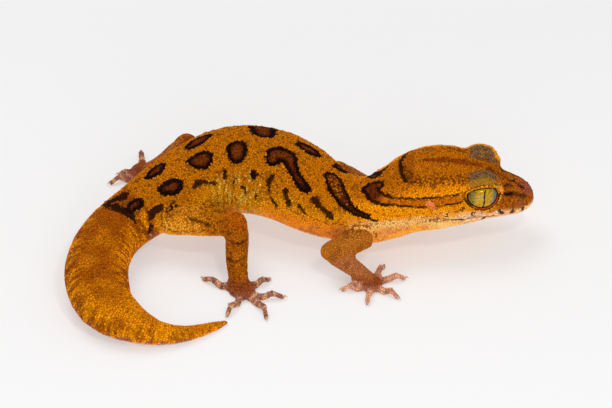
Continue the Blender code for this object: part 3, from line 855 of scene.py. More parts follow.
for at in np.arange(0, mouth_run[-1], MOUTH_GRAIN):
    mouth_grains.append(nearest([float(np.interp(at, mouth_run, mouth[:, i])) for i in range(3)])[0])
mouth_grains = np.array(mouth_grains)
fixed = np.vstack([rings, plates, fringe, mouth_grains])
fixed_pitch = np.concatenate(
    [
        np.full(len(rings), PITCH["tail"]),
        np.full(len(plates), LABIAL_PITCH),
        *fringe_pitch,
        np.full(len(mouth_grains), MOUTH_GRAIN),
    ]
)
print("tail", len(rings), "plates", len(plates), "lid grains", len(fringe), "mouth grains", len(mouth_grains))


# %% Let the free seeds settle
def settle(seeds, fixed, rounds):
    """Moves each free seed to the middle of the trial points that are nearest to it."""
    for _ in range(rounds):
        tree = tree_of(np.vstack([seeds, fixed]))
        owner = np.array([tree.find(p)[1] for p in trial.tolist()])
        count = np.bincount(owner, minlength=len(seeds) + len(fixed))
        total = np.column_stack([np.bincount(owner, trial[:, i], len(count)) for i in range(3)])
        mean = total / np.maximum(count, 1)[:, None]
        held = count[: len(seeds)] == 0
        seeds = np.where(held[:, None], seeds, mean[: len(seeds)])
    return seeds


free = settle(trial[luck.permutation(len(trial))[:seed_count]], fixed, 3)
free = np.array([nearest(p)[0] for p in free.tolist()])
seeds = np.vstack([free, fixed])
seed_vertex = net_point(seeds)
seed_label, seed_along, seed_angle = skin_label[seed_vertex], skin_along[seed_vertex], skin_angle[seed_vertex]
seed_kind, seed_normal = kind_of_label[seed_label], normals[seed_vertex]
seed_pitch = np.concatenate([pitch_at(seed_kind, seed_along, seed_angle, seeds)[: len(free)], fixed_pitch])
print("seeds in all:", len(seeds))

# %% [markdown]
# ## Tubercles
# Among the grains of the back stand larger pointed ones, in loose rows, which serrate the animal's outline.
# Every so often a grain of the back is chosen that stands far enough from those already chosen, and it grows
# wider and taller than its neighbours.

# %% Choose the tubercles
TUBERCLE_APART = 0.95
TUBERCLE_WIDER = 1.35
TUBERCLE_TALLER = 1.8
steep = np.degrees(np.abs(seed_angle))
on_back = among(seed_kind, "neck", "chest", "back") & (steep < 75)
on_tail_root = among(seed_kind, "tail") & (seed_along > tail_end - 7) & (steep < 60)
able = (on_back | on_tail_root) & (np.arange(len(seeds)) < len(free) + len(rings))
chosen = []
for i in luck.permutation(np.flatnonzero(able)):
    if not chosen or np.min(np.sum((seeds[chosen] - seeds[i]) ** 2, axis=1)) > TUBERCLE_APART**2:
        chosen.append(i)
chosen = np.array(chosen)
seed_pitch[chosen] *= TUBERCLE_WIDER
print("tubercles:", len(chosen))

# %% [markdown]
# ## Scales
# A scale is a low dome on its own patch of ground. Round each seed a few rays run along the skin, and each
# stops where the ground of a neighbour begins, which gives the scale its outline. Its rim is sunk in the
# skin, a second ring stands up inside it and one point crowns it. Its underside is closed, so it is solid.

# %% Outlines of the scales
RAYS = 6
NEAR = 10  # neighbours that may limit a scale
DOME = 0.24  # height of a scale as a share of its spacing
FLATTEST = 0.36  # plates wider than this don't rise with their width
WIDE = 0.7  # plates wider than this follow the bend of the skin


def scale_outlines(seeds, normals, backward, pitch):
    """For every seed, its rays along the skin and how far each may run."""
    tree = tree_of(seeds)
    near = np.array([[hit[1] for hit in tree.find_n(p, NEAR + 1)][1:] for p in seeds.tolist()])
    side = unit(np.cross(normals, backward))
    back = np.cross(side, normals)
    turn = luck.random(len(seeds)) * math.tau
    angles = turn[:, None] + np.arange(RAYS) * math.tau / RAYS
    rays = np.cos(angles)[..., None] * back[:, None, :] + np.sin(angles)[..., None] * side[:, None, :]
    to = seeds[near] - seeds[:, None, :]
    far = np.maximum(np.linalg.norm(to, axis=2), 1e-3)
    limit = far * pitch[:, None] / (pitch[:, None] + pitch[near])
    toward = np.einsum("nrk,nmk->nrm", rays, to / far[..., None])
    reach = np.where(toward > 0.2, limit[:, None, :] / np.maximum(toward, 0.2), np.inf).min(axis=2)
    return rays, np.minimum(reach, pitch[:, None] * 0.8), back, angles


bones = {}
for label, name in enumerate(flesh_names):
    if KINDS[kind_of_label[label]] in ("arm", "leg", "toes"):
        points = flesh_points[np.unique(flesh_faces[flesh_label == label])]
        centre = points.mean(axis=0)
        bones[label] = (centre, np.linalg.svd(points - centre, full_matrices=False)[2])
backward = -spine_way[spine_row(seed_along)]
for label, (_, axes) in bones.items():
    backward[seed_label == label] = axes[0]
rays, reach, back, ray_turn = scale_outlines(seeds, seed_normal, backward, seed_pitch)
tall = np.minimum(seed_pitch, FLATTEST) * DOME * (0.85 + 0.3 * luck.random(len(seeds)))
tall[chosen] *= TUBERCLE_TALLER
print("median scale", round(float(np.median(reach)) * 2, 3), "mm across")

# %% [markdown]
# Each scale also gets a place on a flat map of the skin, so that a picture could be painted on it. The map
# unrolls the body by its address, along it and round it, and each piece of a leg by its own bone. Hands and
# feet lie flat on it, seen from over and from under.

# %% The map of the skin
MAP_BODY = (0.02, 0.42, 0.96, 0.56)  # left, bottom, width and height of the body's part
MAP_CELL = (0.16, 0.17)
PATCH = 0.003


def map_places():
    """Where the root of each scale lies on the map."""
    places = np.zeros((len(seeds), 2))
    places[:, 0] = MAP_BODY[0] + MAP_BODY[2] * seed_along / BODY_LENGTH
    places[:, 1] = MAP_BODY[1] + MAP_BODY[3] * (seed_angle / math.tau + 0.5)
    for cell, (label, (middle, axes)) in enumerate(bones.items()):
        mine = seed_label == label
        rel = seeds[mine] - middle
        if KINDS[kind_of_label[label]] == "toes":
            flat = rel[:, :2] / 14
            under = seed_normal[mine][:, 2] < 0
            flat = np.column_stack([flat[:, 0], flat[:, 1] * 0.5 + np.where(under, -0.25, 0.25)])
        else:
            turn = np.arctan2(rel @ axes[1], rel @ axes[2])
            flat = np.column_stack([rel @ axes[0] / 14, turn / math.tau])
        corner = np.array([0.02 + (cell % 6) * MAP_CELL[0], 0.02 + (cell // 6) * MAP_CELL[1]])
        places[mine] = corner + (np.clip(flat, -0.48, 0.48) + 0.5) * MAP_CELL
    return places


roots = map_places()


# %% Domes
def scale_mesh(name, pick):
    """One object with the picked scales as closed domes, each with its patch of the map."""
    centre, normal = seeds[pick][:, None, :], seed_normal[pick][:, None, :]
    run, rise = reach[pick][..., None], tall[pick][:, None, None]
    outer = centre + rays[pick] * run * 0.98 - normal * (rise * 0.3 + 0.02)
    inner = centre + rays[pick] * run * 0.66 + normal * rise * 0.64
    crown = centre + back[pick][:, None, :] * run.mean(axis=1, keepdims=True) * 0.18 + normal * rise
    points = np.concatenate([outer, inner, crown], axis=1)
    lifts = np.array([-0.04] * RAYS + [0.05] * RAYS + [0.09])
    for i in np.flatnonzero(seed_pitch[pick] > WIDE):
        for j in range(2 * RAYS + 1):
            place, way = nearest(points[i, j].tolist())[:2]
            points[i, j] = np.array(place) + np.array(way) * lifts[j]
    points[..., 2] = np.maximum(points[..., 2], 0.0)
    one = []
    for i in range(RAYS):
        j = (i + 1) % RAYS
        one += [(i, j, RAYS + j), (i, RAYS + j, RAYS + i), (RAYS + i, RAYS + j, 2 * RAYS)]
    one += [(0, i + 1, i) for i in range(1, RAYS - 1)]
    one = np.array(one)
    size = 2 * RAYS + 1
    faces = (one[None] + np.arange(len(points))[:, None, None] * size).reshape(-1, 3)
    thing = mesh_of(name, points.reshape(-1, 3), faces)
    turn = ray_turn[pick]
    circle = np.stack([np.cos(turn), np.sin(turn)], axis=2) * PATCH / 2
    patch = np.concatenate([circle, circle * 0.66, np.zeros((len(pick), 1, 2))], axis=1)
    flat = (roots[pick][:, None, :] + patch).reshape(-1, 2)[faces.ravel()]
    layer = thing.data.uv_layers.new(name="OFBake")
    layer.data.foreach_set("uv", flat.astype(np.float32).ravel())
    return thing, size


coats = {}
for number, kind in enumerate(KINDS):
    pick = np.flatnonzero(seed_kind == number)
    coats[kind] = (*scale_mesh(kind + "_scales", pick), pick)
    print(kind, len(pick), "scales,", len(coats[kind][0].data.polygons), "triangles")

# %% [markdown]
# ## Markings
# The back carries blotches with a black rim and a chestnut middle, the flank small dark spots, and the head
# stripes. Each is a stroke of changing thickness, laid where the photograph shows it: the pixel is carried
# along the camera's line to the skin, and from there to an address on the body. All distances are then taken
# along the body and round it, so a blotch keeps its shape over the far side of the back, where the camera
# doesn't see it. What sits low on the near side is repeated on the far side, a little shifted as in life.

# %% Strokes on the body: pixel across, pixel down and half thickness in millimetres
BLOTCHES = (  # wide black rim, chestnut middle
    ((262, 128, 1.42), (263.2, 133, 1.42)),
    ((190, 146.5, 0.85), (198, 141.3, 1.4), (206, 137, 0.9)),
    ((237, 147.4, 1.52), (237, 154.7, 1.52)),
    ((202, 160, 1.72), (196.8, 161, 1.35), (188.8, 161, 0.5)),
    (
        (273, 159.5, 1.28),
        (274, 153.5, 1.3),
        (281, 154.3, 1.5),
        (288.5, 157, 1.42),
        (291.3, 164, 1.06),
        (294.5, 173, 0.84),
        (299.6, 181, 0.88),
        (304.2, 187.5, 0.76),
    ),
    ((302, 145.5, 1.0), (308.5, 149.3, 1.26), (315.5, 153.5, 0.88)),
    ((152.5, 174, 0.95), (156.5, 170.5, 1.16), (160, 167, 0.95)),
    ((166.8, 188, 1.1), (174, 186.2, 1.2)),
    ((131, 208, 0.85), (136.5, 204, 0.95)),
)
FLANK_BLOTCHES = (  # the same, repeated on the far side
    ((252.8, 173.4, 0.6), (255, 176, 0.62)),
)
HOOK = (  # the dark start of the stripe behind the ear: a fourth number is the width of its rim
    (370, 188.8, 1.28, 0.55),
    (374.7, 195, 1.2, 0.52),
    (382.5, 199, 0.92, 0.44),
    (391, 201.3, 0.62, 0.26),
    (405, 202.2, 0.58, 0.2),
    (424, 203, 0.6, 0.19),
    (440, 202.3, 0.66, 0.19),
    (455, 199.7, 0.66, 0.18),
    (467, 195.5, 0.56, 0.17),
)
HOOK_LOBE = ((371.8, 186.4, 1.18, 0.52), (378.8, 184.6, 0.92, 0.48))
SHOULDER = (
    (332.8, 178.5, 1.4, 0.56),
    (334.5, 183.5, 1.34, 0.58),
    (336.8, 190, 1.18, 0.58),
    (340.8, 197.8, 0.86, 0.5),
    (346.5, 205, 0.64, 0.5),
    (355.5, 211.8, 0.44, 0.4),
    (367.5, 217, 0.3, 0.3),
)
CLUSTER = (  # black and ragged, at the root of the tail
    ((106, 204.5, 0.4), (112, 201.8, 0.62), (119, 198, 0.75), (125.5, 195, 0.8), (128.5, 193.5, 0.5)),
    ((109, 206, 0.5), (116, 208, 0.85), (123, 210.5, 0.95), (130, 215, 0.8), (135.5, 220.5, 0.4)),
)
LIP_LINE = (  # the dark seam of the lips, and painted shade of the fold that runs on from its corner
    (
        (417, 223, 0.08),
        (429, 220.3, 0.12),
        (440, 218.9, 0.13),
        (452, 219.3, 0.13),
        (462, 219.3, 0.13),
        (470, 217.2, 0.12),
        (478, 216.2, 0.1),
        (486, 215.8, 0.1),
        (497, 215.4, 0.09),
    ),
)
FLANK_SPOTS = (  # black throughout, repeated on the far side
    ((225, 171.5, 0.4), (224.5, 178, 0.3)),
    ((234.5, 176.5, 0.3), (234.8, 181.5, 0.34)),
    ((194.5, 187, 0.3), (197, 183, 0.42), (204, 181.5, 0.32)),
    ((207, 182, 0.28), (216, 183.8, 0.2)),
    ((272, 178, 0.55), (269, 183, 0.48), (269.5, 193, 0.16)),
    ((270.5, 198, 0.15), (276, 205, 0.32)),
    ((285.5, 191, 0.42), (286.5, 197, 0.3), (288.5, 203, 0.34)),
    ((299, 206, 0.3), (305, 213, 0.16)),
    ((314.5, 200.5, 0.5), (320, 206, 0.34), (324, 210, 0.26), (329.5, 215.5, 0.46)),
    ((240, 187, 0.16), (245, 188, 0.24), (246.5, 196, 0.12)),
    ((226, 196, 0.1), (229, 197, 0.14)),
    ((256, 194, 0.16), (256.5, 199, 0.14)),
    ((151.5, 218, 0.38), (153.5, 211, 0.6), (160.5, 207.5, 0.46)),
    ((151, 225, 0.22), (150, 231.5, 0.36)),
    ((168.5, 209.5, 0.36), (174.5, 204.5, 0.4)),
    ((445.5, 216.5, 0.14), (447.5, 215, 0.2)),
    ((454.5, 211.8, 0.12), (463, 208.5, 0.18)),
    ((471.3, 214.8, 0.18), (473.5, 212.3, 0.25)),
    ((481.5, 219, 0.14), (484, 216.8, 0.2)),
    ((499.3, 211.5, 0.26), (501.8, 212.8, 0.26)),
    ((511.3, 211.8, 0.2), (512.8, 210.3, 0.22)),
    ((521.5, 210, 0.17), (523, 207.7, 0.17)),
    ((373.2, 220, 0.2), (375.8, 221, 0.2)),
    ((513, 180, 0.2), (513.8, 180.6, 0.2)),
    ((519.8, 186.6, 0.25), (521, 187.3, 0.25)),
    ((504.8, 194.6, 0.12), (511, 193.6, 0.2)),
)
NAPE_RIM = ((411, 151, 0.2), (404, 155.5, 0.26), (400.5, 164, 0.3), (401.5, 174, 0.3), (406, 182, 0.26))
SKYLINE_DASHES = (  # black, on the near side alone
    ((333.8, 166.5, 0.36), (338, 168.6, 0.45), (343, 170.6, 0.45), (347, 172, 0.3)),
    ((370, 176, 0.3), (377, 174, 0.42), (382, 171, 0.36), (388, 166.5, 0.16)),
)
NAPE = ((411, 154, 0.4), (405, 160, 0.85), (404.5, 168, 1.0), (408, 177, 0.85), (414, 180.3, 0.6))
BAR = ((424.5, 160.4, 0.42), (440, 160.2, 0.62), (455, 161.2, 0.6), (468, 163.2, 0.5), (480, 165.6, 0.34))
DOTS = (
    (404, 172, 0.6),
    (409, 177.5, 1.0),
    (421, 181, 0.8),
    (434, 183.4, 0.75),
    (452, 180.2, 0.85),
    (470, 178.4, 0.7),
)
BROWNS = (  # soft brown clouds and bands
    ((414, 151, 0.4), (425, 148.5, 0.4), (445, 147.5, 0.35), (466, 150, 0.4)),
    ((110, 205, 0.8), (118, 204.5, 1.2), (128, 205, 1.4), (134, 211, 0.9)),
)
SMUDGES = (  # dark brown and soft, repeated on the far side
    ((503.8, 194.4, 0.2), (508, 194, 0.32), (512, 194, 0.28), (518, 194.3, 0.4), (524, 195.5, 0.32)),
    ((505, 186, 0.22), (509, 184.5, 0.32), (513, 186.5, 0.2)),
    (
        (487, 168.5, 0.12),
        (495, 172, 0.18),
        (503, 176.5, 0.24),
        (512, 181, 0.24),
        (518, 184.5, 0.3),
        (524, 189, 0.3),
    ),
)
LEG_LINES = (  # dark lines across the legs, as strokes on the skin itself
    ((189, 217.5, 0.2), (193, 219.5, 0.28), (199, 221.3, 0.25), (205, 223.3, 0.24), (210.5, 225.5, 0.16)),
    ((159, 225, 0.1), (165, 227.5, 0.12), (174, 231.3, 0.11), (183, 230.7, 0.11), (189, 232.5, 0.1)),
    ((189, 204.3, 0.14), (194, 202, 0.14), (200.5, 200, 0.12)),
    ((209.5, 207, 0.18), (211.5, 207.5, 0.18)),
    ((229, 240, 0.14), (232, 242, 0.18), (239, 243.8, 0.2), (243, 242.5, 0.18), (247, 239.5, 0.14)),
    ((228.8, 258, 0.2), (230.5, 259.5, 0.18), (234.5, 261.3, 0.16), (239, 260.3, 0.15), (242.5, 258.3, 0.16)),
    ((228.8, 234, 0.16), (229.6, 234, 0.16)),
    ((238, 227.5, 0.15), (239, 227, 0.15)),
    ((336, 166.8, 0.42), (341, 169.2, 0.5), (346.5, 171.3, 0.36)),
)
FAR_SHIFT = 0.7  # millimetres by which the far side's marks are moved along the body, at most
FAR_DROP = 2.8  # and by which they lie lower
FAR_SHOULDER_DROP = 5.0  # the same for the mark on the shoulder
FAR_HOOK = (2.3, 0.9)  # and drop and shift of the hook of the stripe
RIM_WIDTH = 0.72


def flat_address(points):
    """Millimetres along the body and round it from the middle of the back."""
    along, angle = address(points)
    return np.column_stack([along, angle * girth(along)])


def hits_of(rows):
    found = [(cast(row[0], row[1]), row[2:]) for row in rows]
    if any(hit is None for hit, _ in found):
        print("off the skin:", [row for row, (hit, _) in zip(rows, found) if hit is None])
    return [(hit, rest) for hit, rest in found if hit is not None]


def fill(table):
    """A stroke's rows at close steps."""
    steps = np.linspace(0, len(table) - 1, 10 * len(table))
    return np.column_stack([np.interp(steps, np.arange(len(table)), column) for column in table.T])


def stroke(rows):
    """A stroke as addresses, half thickness and width of the rim."""
    hits = hits_of(rows)
    sizes = [(rest[0], rest[1] if len(rest) > 1 else RIM_WIDTH) for _, rest in hits]
    return fill(np.column_stack([flat_address(np.array([hit for hit, _ in hits])), sizes]))


def far_copy(path, drop, shift):
    """The same stroke on the other side, lower by drop and moved along by shift, or by chance."""
    shifted = path.copy()
    shifted[:, 0] += (luck.random() * 2 - 1) * FAR_SHIFT if shift is None else shift
    shifted[:, 1] = -shifted[:, 1] - drop
    return shifted


def depth_in(flat, paths):
    """How deep each point lies inside the nearest of some strokes, and the width of that stroke's rim."""
    depth, rim = np.full(len(flat), -9.0), np.full(len(flat), RIM_WIDTH)
    for path in paths:
        reach = path[:, 2].max() + 0.8
        low, high = path[:, 0].min() - reach, path[:, 0].max() + reach
        near = np.flatnonzero((flat[:, 0] > low) & (flat[:, 0] < high))
        apart = path[None, :, 2] - np.linalg.norm(flat[near, None, :] - path[None, :, :2], axis=2)
        best = apart.argmax(axis=1)
        found = apart[np.arange(len(near)), best]
        better = found > depth[near]
        depth[near[better]], rim[near[better]] = found[better], path[best[better], 3]
    return depth, rim


def strokes(rows):
    return [stroke(row) for row in rows if hits_of(row)]


def both_sides(rows, drop=FAR_DROP, shift=None):
    near = strokes(rows)
    return near + [far_copy(path, drop, shift) for path in near]


skin_tree = trees()
blotches = strokes(BLOTCHES) + both_sides((SHOULDER,), FAR_SHOULDER_DROP) + both_sides(FLANK_BLOTCHES)
stripes = both_sides((HOOK, HOOK_LOBE), *FAR_HOOK)
spots_at = both_sides(FLANK_SPOTS) + strokes((NAPE_RIM, *SKYLINE_DASHES))
cluster = strokes(CLUSTER)
lip_line = strokes(LIP_LINE)
browns = strokes(BROWNS)
bars, napes = strokes((BAR,)), strokes((NAPE,))
dots = strokes((DOTS,))
smudges = both_sides(SMUDGES)
leg_marks = np.vstack([fill(np.array([(*hit, *rest) for hit, rest in hits_of(rows)])) for rows in LEG_LINES])
marks = (blotches, stripes, spots_at, cluster, lip_line, browns, bars, napes, dots, smudges, LEG_LINES)
print("strokes:", sum(len(group) for group in marks))


# %% Noise that is the same every run
def lattice(cells):
    """A fixed random number from 0 to 1 for each whole-numbered cell."""
    mix = (cells[..., 0] * 73856093) ^ (cells[..., 1] * 19349663) ^ (cells[..., 2] * 83492791)
    mix = (mix ^ (mix >> 13)) * 1274126177
    return ((mix ^ (mix >> 16)) & 0xFFFF) / 65535


def noise(points, size):
    """Soft clouds from 0 to 1, with lumps of about this size in millimetres."""
    spot = points / size
    cell = np.floor(spot).astype(np.int64)
    part = spot - cell
    part = part * part * (3 - 2 * part)
    total = np.zeros(len(points))
    for corner in np.ndindex(2, 2, 2):
        weight = np.prod(np.where(corner, part, 1 - part), axis=1)
        total += lattice(cell + np.array(corner)) * weight
    return total


# %% [markdown]
# ## The colour of every point
# The skin and the scales share one function that gives the colour at any address, so the grooves between
# scales carry the same pattern as the scales. The ground colour runs from golden brown on the back through
# orange on the flank to a pinkish belly. The head, tail, legs and toes have their own, and the markings go on
# top.

# %% The palette
PALETTE = {
    "back": "#BB6B00",
    "shoulder": "#C26E00",
    "flank": "#DA9006",
    "belly edge": "#F59A4F",
    "breast": "#E68415",
    "belly": "#EDBB92",
    "crown": "#BB6800",
    "head side": "#F39204",
    "throat": "#F29B24",
    "cheek": "#FFBE6D",
    "lip": "#FABC8F",
    "snout": "#AB5A08",
    "snout tip": "#9E5034",
    "orbit": "#725739",
    "orbit low": "#796216",
    "lid": "#FA9F0D",
    "lower lid": "#A63F0F",
    "tail": "#A15100",
    "tail light": "#E89004",
    "thigh light": "#F7A12A",
    "knee": "#B15806",
    "thigh": "#B46803",
    "shank": "#AA5B06",
    "arm": "#B46A1C",
    "forearm": "#AE6739",
    "hand": "#94491C",
    "hand toe": "#D79A7D",
    "toe": "#A6715C",
    "toe light": "#E2AA7D",
    "rim": "#1E0803",
    "chestnut": "#622502",
    "chestnut light": "#783603",
    "stripe": "#BA5F04",
    "brown": "#7A3A04",
    "bar": "#843702",
    "smudge": "#4C2408",
    "fold": "#CDB04A",
    "fold trough shade": "#9A6A10",
    "purple": "#8A5048",
    "mouth": "#5E2A22",
    "reticule": "#B86A50",
    "ear": "#EC9359",
}
GAIN = 1.22  # the grooves' painted shade and the dark grains swallow light, so the pigments are brighter by this
INK = {name: colour(code) * (GAIN if name != "rim" else 1) for name, code in PALETTE.items()}


def blend(colours, name, share):
    """Moves colours, in place, toward one of the palette by a share from 0 to 1."""
    colours += (INK[name] - colours) * np.clip(share, 0, 1)[:, None]


# %% Ground colours
KNEES = ((-8.6, -2.2, 6.1), (-15.3, 13.7, 7.4))
TOE_BAND = 1.15  # millimetres from one pale band of a toe to the next
LIMB_LOW = (0.7, 2.6)  # heights between which a leg takes the colour of its hand or foot


def ground_colour(points, kind, label, along, angle, grain):
    """Colour of the hide without its markings."""
    steep = np.degrees(np.abs(angle))
    cloud, fine = noise(points, 2.2), noise(points + 50, 0.7)
    result = np.tile(INK["back"], (len(points), 1))
    blend(result, "shoulder", ease(along, 62, 68))
    blend(result, "flank", ease(steep + cloud * 24, 70, 104))
    blend(result, "belly edge", ease(steep + fine * 14, 104, 122) * 0.9)
    blend(result, "breast", ease(along, 58, 66) * ease(steep + cloud * 20, 84, 104) * 0.8)
    blend(result, "belly", ease(steep, 126, 150))
    spotty = ease(steep, 96, 106) * (1 - ease(steep, 126, 140)) * ease(noise(points + 4, 0.8), 0.6, 0.74)
    blend(result, "purple", spotty * among(kind, "chest", "back", "neck") * 0.45)
    wave, strong = fold_wave(along, angle)
    blend(result, "fold", ease(wave, 0.55, 0.9) * strong * (0.3 + 0.5 * cloud))
    # Painted shade in the troughs of the folds.
    blend(result, "fold trough shade", ease(-wave, 0.5, 0.9) * strong * 0.45)
    head = among(kind, "head") | (among(kind, "neck") & (along > 72))
    skull = ease(along, 70, 75) * head
    blend(result, "crown", skull * (1 - ease(steep, 40, 60)))
    blend(result, "head side", skull * ease(steep, 32, 54) * (1 - ease(steep, 84, 95)))
    blend(result, "cheek", skull * ease(steep + fine * 8, 80, 96) * (1 - ease(steep, 140, 165)))
    throat = (skull + (1 - skull) * among(kind, "neck")) * ease(steep, 92, 106)
    blend(result, "throat", throat * among(kind, "neck", "head") * (1 - ease(along, 80, 84)) * 0.8)
    blend(result, "reticule", throat * ease(noise(points + 7, 0.8) * 0.7 + grain * 0.3, 0.55, 0.68) * 0.6)
    front = ease(along, BODY_LENGTH - 7.5, BODY_LENGTH - 4.5) * among(kind, "head")
    blend(result, "snout", front * (1 - ease(steep, 82, 98)))
    tip = ease(along, BODY_LENGTH - 3.2, BODY_LENGTH - 1.0) * among(kind, "head")
    blend(result, "snout tip", tip * ease(noise(points + 2, 0.8), 0.2, 0.6))
    tail = among(kind, "tail")
    result[tail] = INK["tail"]
    streak = noise(np.column_stack([along * 3.2, angle * girth(along) * 0.6, np.zeros(len(points))]), 0.9)
    pale = ease(cloud, 0.35, 0.8) * 0.35 + 0.5 * (1 - ease(along, 8, 24))
    blend(result, "tail light", tail * np.clip(pale, 0, 1))
    blend(result, "tail light", tail * ease(streak, 0.5, 0.68) * ease(steep + fine * 20, 30, 80) * 0.8)
    blend(result, "brown", tail * (1 - ease(streak, 0.3, 0.42)) * ease(steep, 20, 80) * 0.5)
    blend(result, "belly edge", tail * ease(steep + fine * 12, 112, 128) * 0.75)
    blend(result, "purple", tail * ease(steep, 94, 106) * ease(noise(points + 4, 1.0), 0.5, 0.62) * 0.7)
    result[among(kind, "leg")] = INK["thigh"]
    result[among(kind, "arm")] = INK["arm"]
    for word, name in (("shank", "shank"), ("forearm", "forearm")):
        mine = np.isin(label, [LABELS[word + "_left"], LABELS[word + "_right"]])
        blend(result, name, mine * 0.9)
    limb = among(kind, "arm", "leg")
    far_legs = np.isin(label, [LABELS["thigh_left"], LABELS["shank_left"]])
    blend(result, "forearm", far_legs * 0.55)
    from_knee = np.minimum(*[np.linalg.norm(points - np.array(knee), axis=1) for knee in KNEES])
    thighs = np.isin(label, [LABELS["thigh_left"], LABELS["thigh_right"]])
    low_side = 1 - ease(points[:, 2], 5.6, 7.4)
    blend(result, "thigh light", thighs * ease(from_knee + fine, 4.4, 6.6) * (0.25 + 0.75 * low_side))
    under = 1 - ease(points[:, 2] + fine * 0.6, 4.9, 6.0)
    blend(result, "thigh light", thighs * ease(from_knee, 1.6, 3.2) * under * 0.8)
    blend(result, "knee", among(kind, "leg") * (1 - ease(from_knee + fine * 0.8, 1.8, 3.4)) * 0.9)
    blend(result, "brown", limb * ease(noise(points + 9, 0.9), 0.55, 0.75) * 0.4)
    blend(result, "hand", limb * (1 - ease(points[:, 2], *LIMB_LOW)))
    toes = among(kind, "toes")
    result[toes] = INK["hand"]
    reach = np.zeros(len(points))
    for name, (x, y, _) in HANDS.items():
        mine = label == LABELS[name]
        reach[mine] = np.hypot(points[mine, 0] - x, points[mine, 1] - y)
    blend(result, "toe", toes * ease(reach + fine, 1.6, 3.2))
    hands = np.isin(label, [LABELS["hand_left"], LABELS["hand_right"]])
    blend(result, "hand toe", hands * ease(reach + fine, 1.4, 2.8) * 0.85)
    bands = np.sin(reach * math.tau / TOE_BAND + fine * 2.5)
    blend(result, "toe light", toes * ease(reach, 1.2, 2.2) * ease(bands, 0.0, 0.6) * 0.75)
    blend(result, "purple", toes * ease(noise(points + 5, 0.7), 0.55, 0.7) * 0.5)
    return result


# %% Markings over the ground
EYE_ALONG = 90.3  # where the eyes lie along the body: the pale lip is widest there


def mark_colour(result, points, kind, along, angle, grain, ear, apart, over):
    """The hide's colour with its blotches, stripes and spots."""
    flat = np.column_stack([along, angle * girth(along)])
    trunk = among(kind, "head", "neck", "chest", "back", "tail")
    fine = noise(points + 50, 0.7)
    ragged = (fine - 0.5) * 0.34 + (grain - 0.5) * 0.16
    depth, _ = depth_in(flat, browns)
    blend(result, "brown", ease(depth + ragged, -0.25, 0.2) * trunk * np.where(grain < 0.6, 0.72, 0.12))
    depth, _ = depth_in(flat, bars)
    blend(result, "bar", ease(depth + ragged * 0.6, -0.12, 0.15) * trunk * 0.85)
    depth, _ = depth_in(flat, napes)
    blend(result, "bar", ease(depth + ragged * 0.6, -0.12, 0.15) * trunk * 0.5)
    depth, _ = depth_in(flat, dots)
    blend(result, "rim", ease(depth + ragged, -0.15, 0.15) * trunk * np.where(grain < 0.42, 0.8, 0.05))
    depth, rim = depth_in(flat, blotches)
    depth = np.where(trunk, depth + ragged * 0.6, -9)
    blend(result, "chestnut", ease(depth, -0.02, 0.08))
    blend(result, "chestnut light", ease(depth, rim - 0.05, rim + 0.5) * (0.45 + 0.5 * grain))
    speckled = (rim < 0.6) & (grain > 0.5)
    blend(result, "back", ease(depth, rim, rim + 0.3) * speckled * 0.75)
    blend(result, "rim", ease(depth, -0.05, 0.05) * (1 - ease(depth, rim - 0.22, rim + 0.2)))
    depth, rim = depth_in(flat, stripes)
    depth = np.where(trunk, depth + ragged * 0.45, -9)
    dark = ease(rim, 0.43, 0.5)
    blend(result, "stripe", ease(depth, -0.02, 0.08) * 0.75)
    blend(result, "chestnut", ease(depth, -0.02, 0.08) * dark)
    blend(result, "brown", ease(depth, 0.0, 0.1) * (grain > 0.6) * 0.4)
    blend(result, "rim", ease(depth, -0.05, 0.04) * (1 - ease(depth, rim - 0.05, rim + 0.1)) * 0.95)
    depth, _ = depth_in(flat, smudges)
    blend(result, "smudge", ease(depth + ragged, -0.15, 0.2) * trunk * 0.85)
    lip_width = 0.95 + 0.65 * np.exp(-(((along - EYE_ALONG) / 1.7) ** 2))
    lips = (apart < lip_width) & (over > -0.6) & among(kind, "head")
    cream = ease(along, 86, 88) * (1 - ease(along, BODY_LENGTH - 2.5, BODY_LENGTH - 0.5) * 0.7)
    blend(result, "lip", lips * cream)
    blend(result, "mouth", among(kind, "head") * (1 - ease(apart, 0.08, 0.16)) * 0.85)
    depth, _ = depth_in(flat, spots_at)
    blend(result, "rim", ease(depth + ragged * 0.45, -0.06, 0.08) * trunk * 0.93)
    # The seam of the lips is dark; beyond the mouth's corner the stroke is painted shade of a fold.
    depth, _ = depth_in(flat, lip_line)
    blend(result, "mouth", ease(depth + ragged * 0.3, -0.06, 0.06) * trunk * 0.75)
    depth, _ = depth_in(flat, cluster)
    blend(result, "rim", ease(depth + ragged * 2.2, -0.05, 0.1) * trunk * 0.93)
    leg = np.flatnonzero(among(kind, "arm", "leg"))
    apart_leg = leg_marks[None, :, 3] - np.linalg.norm(points[leg, None, :] - leg_marks[None, :, :3], axis=2)
    inside = np.zeros(len(points))
    inside[leg] = ease(apart_leg.max(axis=1) + ragged[leg] * 0.5, -0.1, 0.1)
    blend(result, "smudge", inside * 0.85)
    blend(result, "ear", (1 - ease(ear, 0.8, 1.3)) * 0.85)
    return eye_colour(result, points, kind, grain)


# %% Round the eyes
ORBIT = (24.75, 1.85, -1.05, 1.95)  # the patch over an eye: middle along x, half length, inner and outer edge


